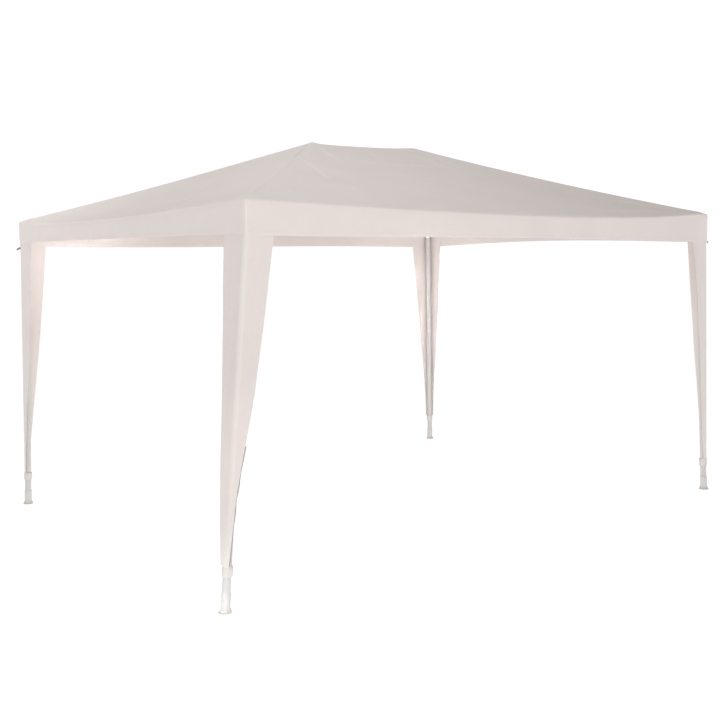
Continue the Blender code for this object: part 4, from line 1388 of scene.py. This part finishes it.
def build_guy_loops():
    """Guy loops: webbing folded double, sewn into the corner seam, standing on edge and drooping."""
    share = np.linspace(-1, 1, 61)
    reach = LOOP_REACH * (1 - np.abs(share) ** 1.7)
    eye = LOOP_EYE * np.sign(share) * np.minimum(np.abs(share) * 9, 1) * (1 + 1.1 * bow(1 - np.abs(share)))
    droop = LOOP_DROOP * (np.clip(reach - LOOP_STRAIGHT, 0, None) / (LOOP_REACH - LOOP_STRAIGHT)) ** 1.3
    height = LOOP_HEIGHT * (1 - 0.25 * (reach / LOOP_REACH) ** 2)
    edge = np.array([0, 0.06, 0.2, 0.5, 0.8, 0.94, 1.0])[:, None]
    thick = LOOP_HALF_THICKNESS * np.array([0.4, 0.85, 1, 1, 1, 0.85, 0.4])[:, None, None]
    for corner, shift in LOOP_SHIFTS.items():
        side, depth = CORNERS[corner]
        outward = np.array([side, depth, 0]) / math.sqrt(2)
        root = np.array([MIDDLE + side * HALF_LENGTH, depth * HALF_WIDTH, 0]) - outward * LOOP_ROOT
        centre = root + outward * reach[:, None] + np.cross(outward, (0, 0, 1)) * eye[:, None]
        grid = np.tile(centre, (len(edge), 1, 1))
        grid[..., 2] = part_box("guy_loop_" + corner)[1].z - shift - droop - height * edge
        normal = grid_normals(grid)
        item = add_sheet("webbing_loop_" + corner, grid + normal * thick, grid - normal * thick, LOOP_FINISH,
                         run_along(centre)[None, :], edge * LOOP_STRAP)
        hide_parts("guy_loop_" + corner)


# Stage

CAMERA_PLACE = (-4.6875, -5.815, 1.748)
CAMERA_YAW = math.radians(38.87)
CAMERA_PITCH = math.radians(-5.52)
CAMERA_ROLL = math.radians(-0.80)
CAMERA_LENS = 51.215
SENSOR_WIDTH = 36.0
FLOOR_HALF_SIZE = 60.0
FLOOR_GLOW = 0.90
FLOOR_SHADE = 0.30

# The sky: sine of the height above the horizon and brightness there
SKY_STOPS = ((0.0, 1.04), (0.27, 1.04), (0.42, 0.27), (0.80, 0.27), (1.0, 0.27))

# Lights: place, target, width, height, power and spread in degrees
LIGHTS = {
    "key_lamp": ((-2.6, -6.5, 2.15), (-0.6, -1.0, 1.90), 0.30, 0.05, 36, 180),
    "left_softbox": ((-4.6, 3.0, 3.9), (-1.6, 0.9, 2.1), 1.6, 1.6, 9, 180),
    "slope_softbox": ((-2.4, 2.2, 4.2), (-1.8, 1.25, 2.15), 0.6, 0.6, 1.3, 50),
    "top_softbox": ((-2.0, -1.5, 6.5), (-0.5, 0.0, 2.0), 3.0, 3.0, 103, 180),
    "back_softbox": ((1.5, 5.5, 5.5), (0.0, 0.0, 2.0), 2.0, 2.0, 6, 180),
    "inner_softbox": ((-4.75, -5.75, 0.90), (2.0, 1.45, 1.33), 0.4, 0.4, 1.6, 13),
    "inner_left_softbox": ((0.6, -6.0, 0.55), (-1.60, 1.5, 1.88), 0.4, 0.4, 0.72, 11),
    "low_softbox": ((-5.4, -3.9, 0.40), (-2.08, -1.49, -0.08), 0.3, 0.3, 0.58, 13),
    "leg_softbox": ((-5.4, -3.9, 0.70), (-2.05, -1.49, 0.66), 0.3, 0.3, 0.13, 13),
}


def add_camera():
    """The camera of the photograph: yaw from +Y towards +X, then pitch, then roll."""
    level = math.cos(CAMERA_PITCH)
    ahead = Vector((math.sin(CAMERA_YAW) * level, math.cos(CAMERA_YAW) * level, math.sin(CAMERA_PITCH)))
    right = Vector((math.cos(CAMERA_YAW), -math.sin(CAMERA_YAW), 0))
    above = right.cross(ahead)
    rolled_right = right * math.cos(CAMERA_ROLL) + above * math.sin(CAMERA_ROLL)
    rolled_above = above * math.cos(CAMERA_ROLL) - right * math.sin(CAMERA_ROLL)
    data = bpy.data.cameras.new("view_camera")
    data.lens = CAMERA_LENS
    data.sensor_width = SENSOR_WIDTH
    data.clip_end = 200.0
    item = add_item("view_camera", data)
    turn = Matrix((rolled_right, rolled_above, -ahead)).transposed().to_4x4()
    item.matrix_world = Matrix.Translation(CAMERA_PLACE) @ turn
    bpy.context.scene.camera = item


def add_floor():
    """A plain pale floor that glows a little, so that shade on it stays faint."""
    size = FLOOR_HALF_SIZE
    mesh = bpy.data.meshes.new("floor")
    corners = [(-size, -size, 0), (size, -size, 0), (size, size, 0), (-size, size, 0)]
    mesh.from_pydata(corners, [], [(0, 1, 2, 3)])
    paint = Recipe("floor_paint").surface(Base_Color=tinted((FLOOR_SHADE,) * 3), Roughness=1.0,
                                          Emission_Color=(1, 1, 1, 1), Emission_Strength=FLOOR_GLOW,
                                          Specular_IOR_Level=0.0)
    mesh.materials.append(paint)
    item = add_item("floor", mesh)


def add_sky():
    """An even pale sky: white up to 15 degrees above the horizon and dimmer overhead."""
    world = bpy.data.worlds.new("studio")
    world.use_nodes = True
    nodes, links = world.node_tree.nodes, world.node_tree.links
    place = nodes.new("ShaderNodeTexCoord")
    parts = nodes.new("ShaderNodeSeparateXYZ")
    ramp = nodes.new("ShaderNodeValToRGB")
    steps = ramp.color_ramp.elements
    while len(steps) < len(SKY_STOPS):
        steps.new(0.5)
    for step, (height, value) in zip(steps, SKY_STOPS):
        step.position = height
        step.color = (value, value, value, 1)
    links.new(place.outputs["Generated"], parts.inputs[0])
    links.new(parts.outputs["Z"], ramp.inputs["Fac"])
    links.new(ramp.outputs["Color"], nodes["Background"].inputs["Color"])
    bpy.context.scene.world = world


def add_light(name, place, target, width, height, power, spread):
    """A soft box that faces a point."""
    data = bpy.data.lights.new(name, "AREA")
    data.shape = "RECTANGLE"
    data.size = width
    data.size_y = height
    data.energy = power
    data.spread = math.radians(spread)
    item = add_item(name, data)
    item.location = place
    item.rotation_euler = (Vector(target) - Vector(place)).to_track_quat("-Z", "Y").to_euler()


def build_stage():
    """Camera, floor, sky and lights; colours are shown without a film curve."""
    bpy.context.scene.view_settings.view_transform = "Standard"
    add_camera()
    add_floor()
    add_sky()
    for name, values in LIGHTS.items():
        add_light(name, *values)


def build_cover():
    """The sewn cover, with what the record's solids call roof, valances and leg skirts."""
    roof = build_roof()
    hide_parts("roof_front", "roof_back", "roof_left", "roof_right")
    valance = build_valance()
    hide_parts("valance_front", "valance_back", "valance_left", "valance_right")
    for corner in CORNERS:
        skirt = build_skirt(corner)
        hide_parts("leg_skirt_" + corner)
        collar = build_collar(corner)
    # The dark strip that paints the shadow line at the near skirt's flap edge
    build_shadow_closure_strip("front_left")
    build_stitching()


build_stage()
build_tubes()
build_connectors()
build_feet()
build_cover()
build_guy_loops()
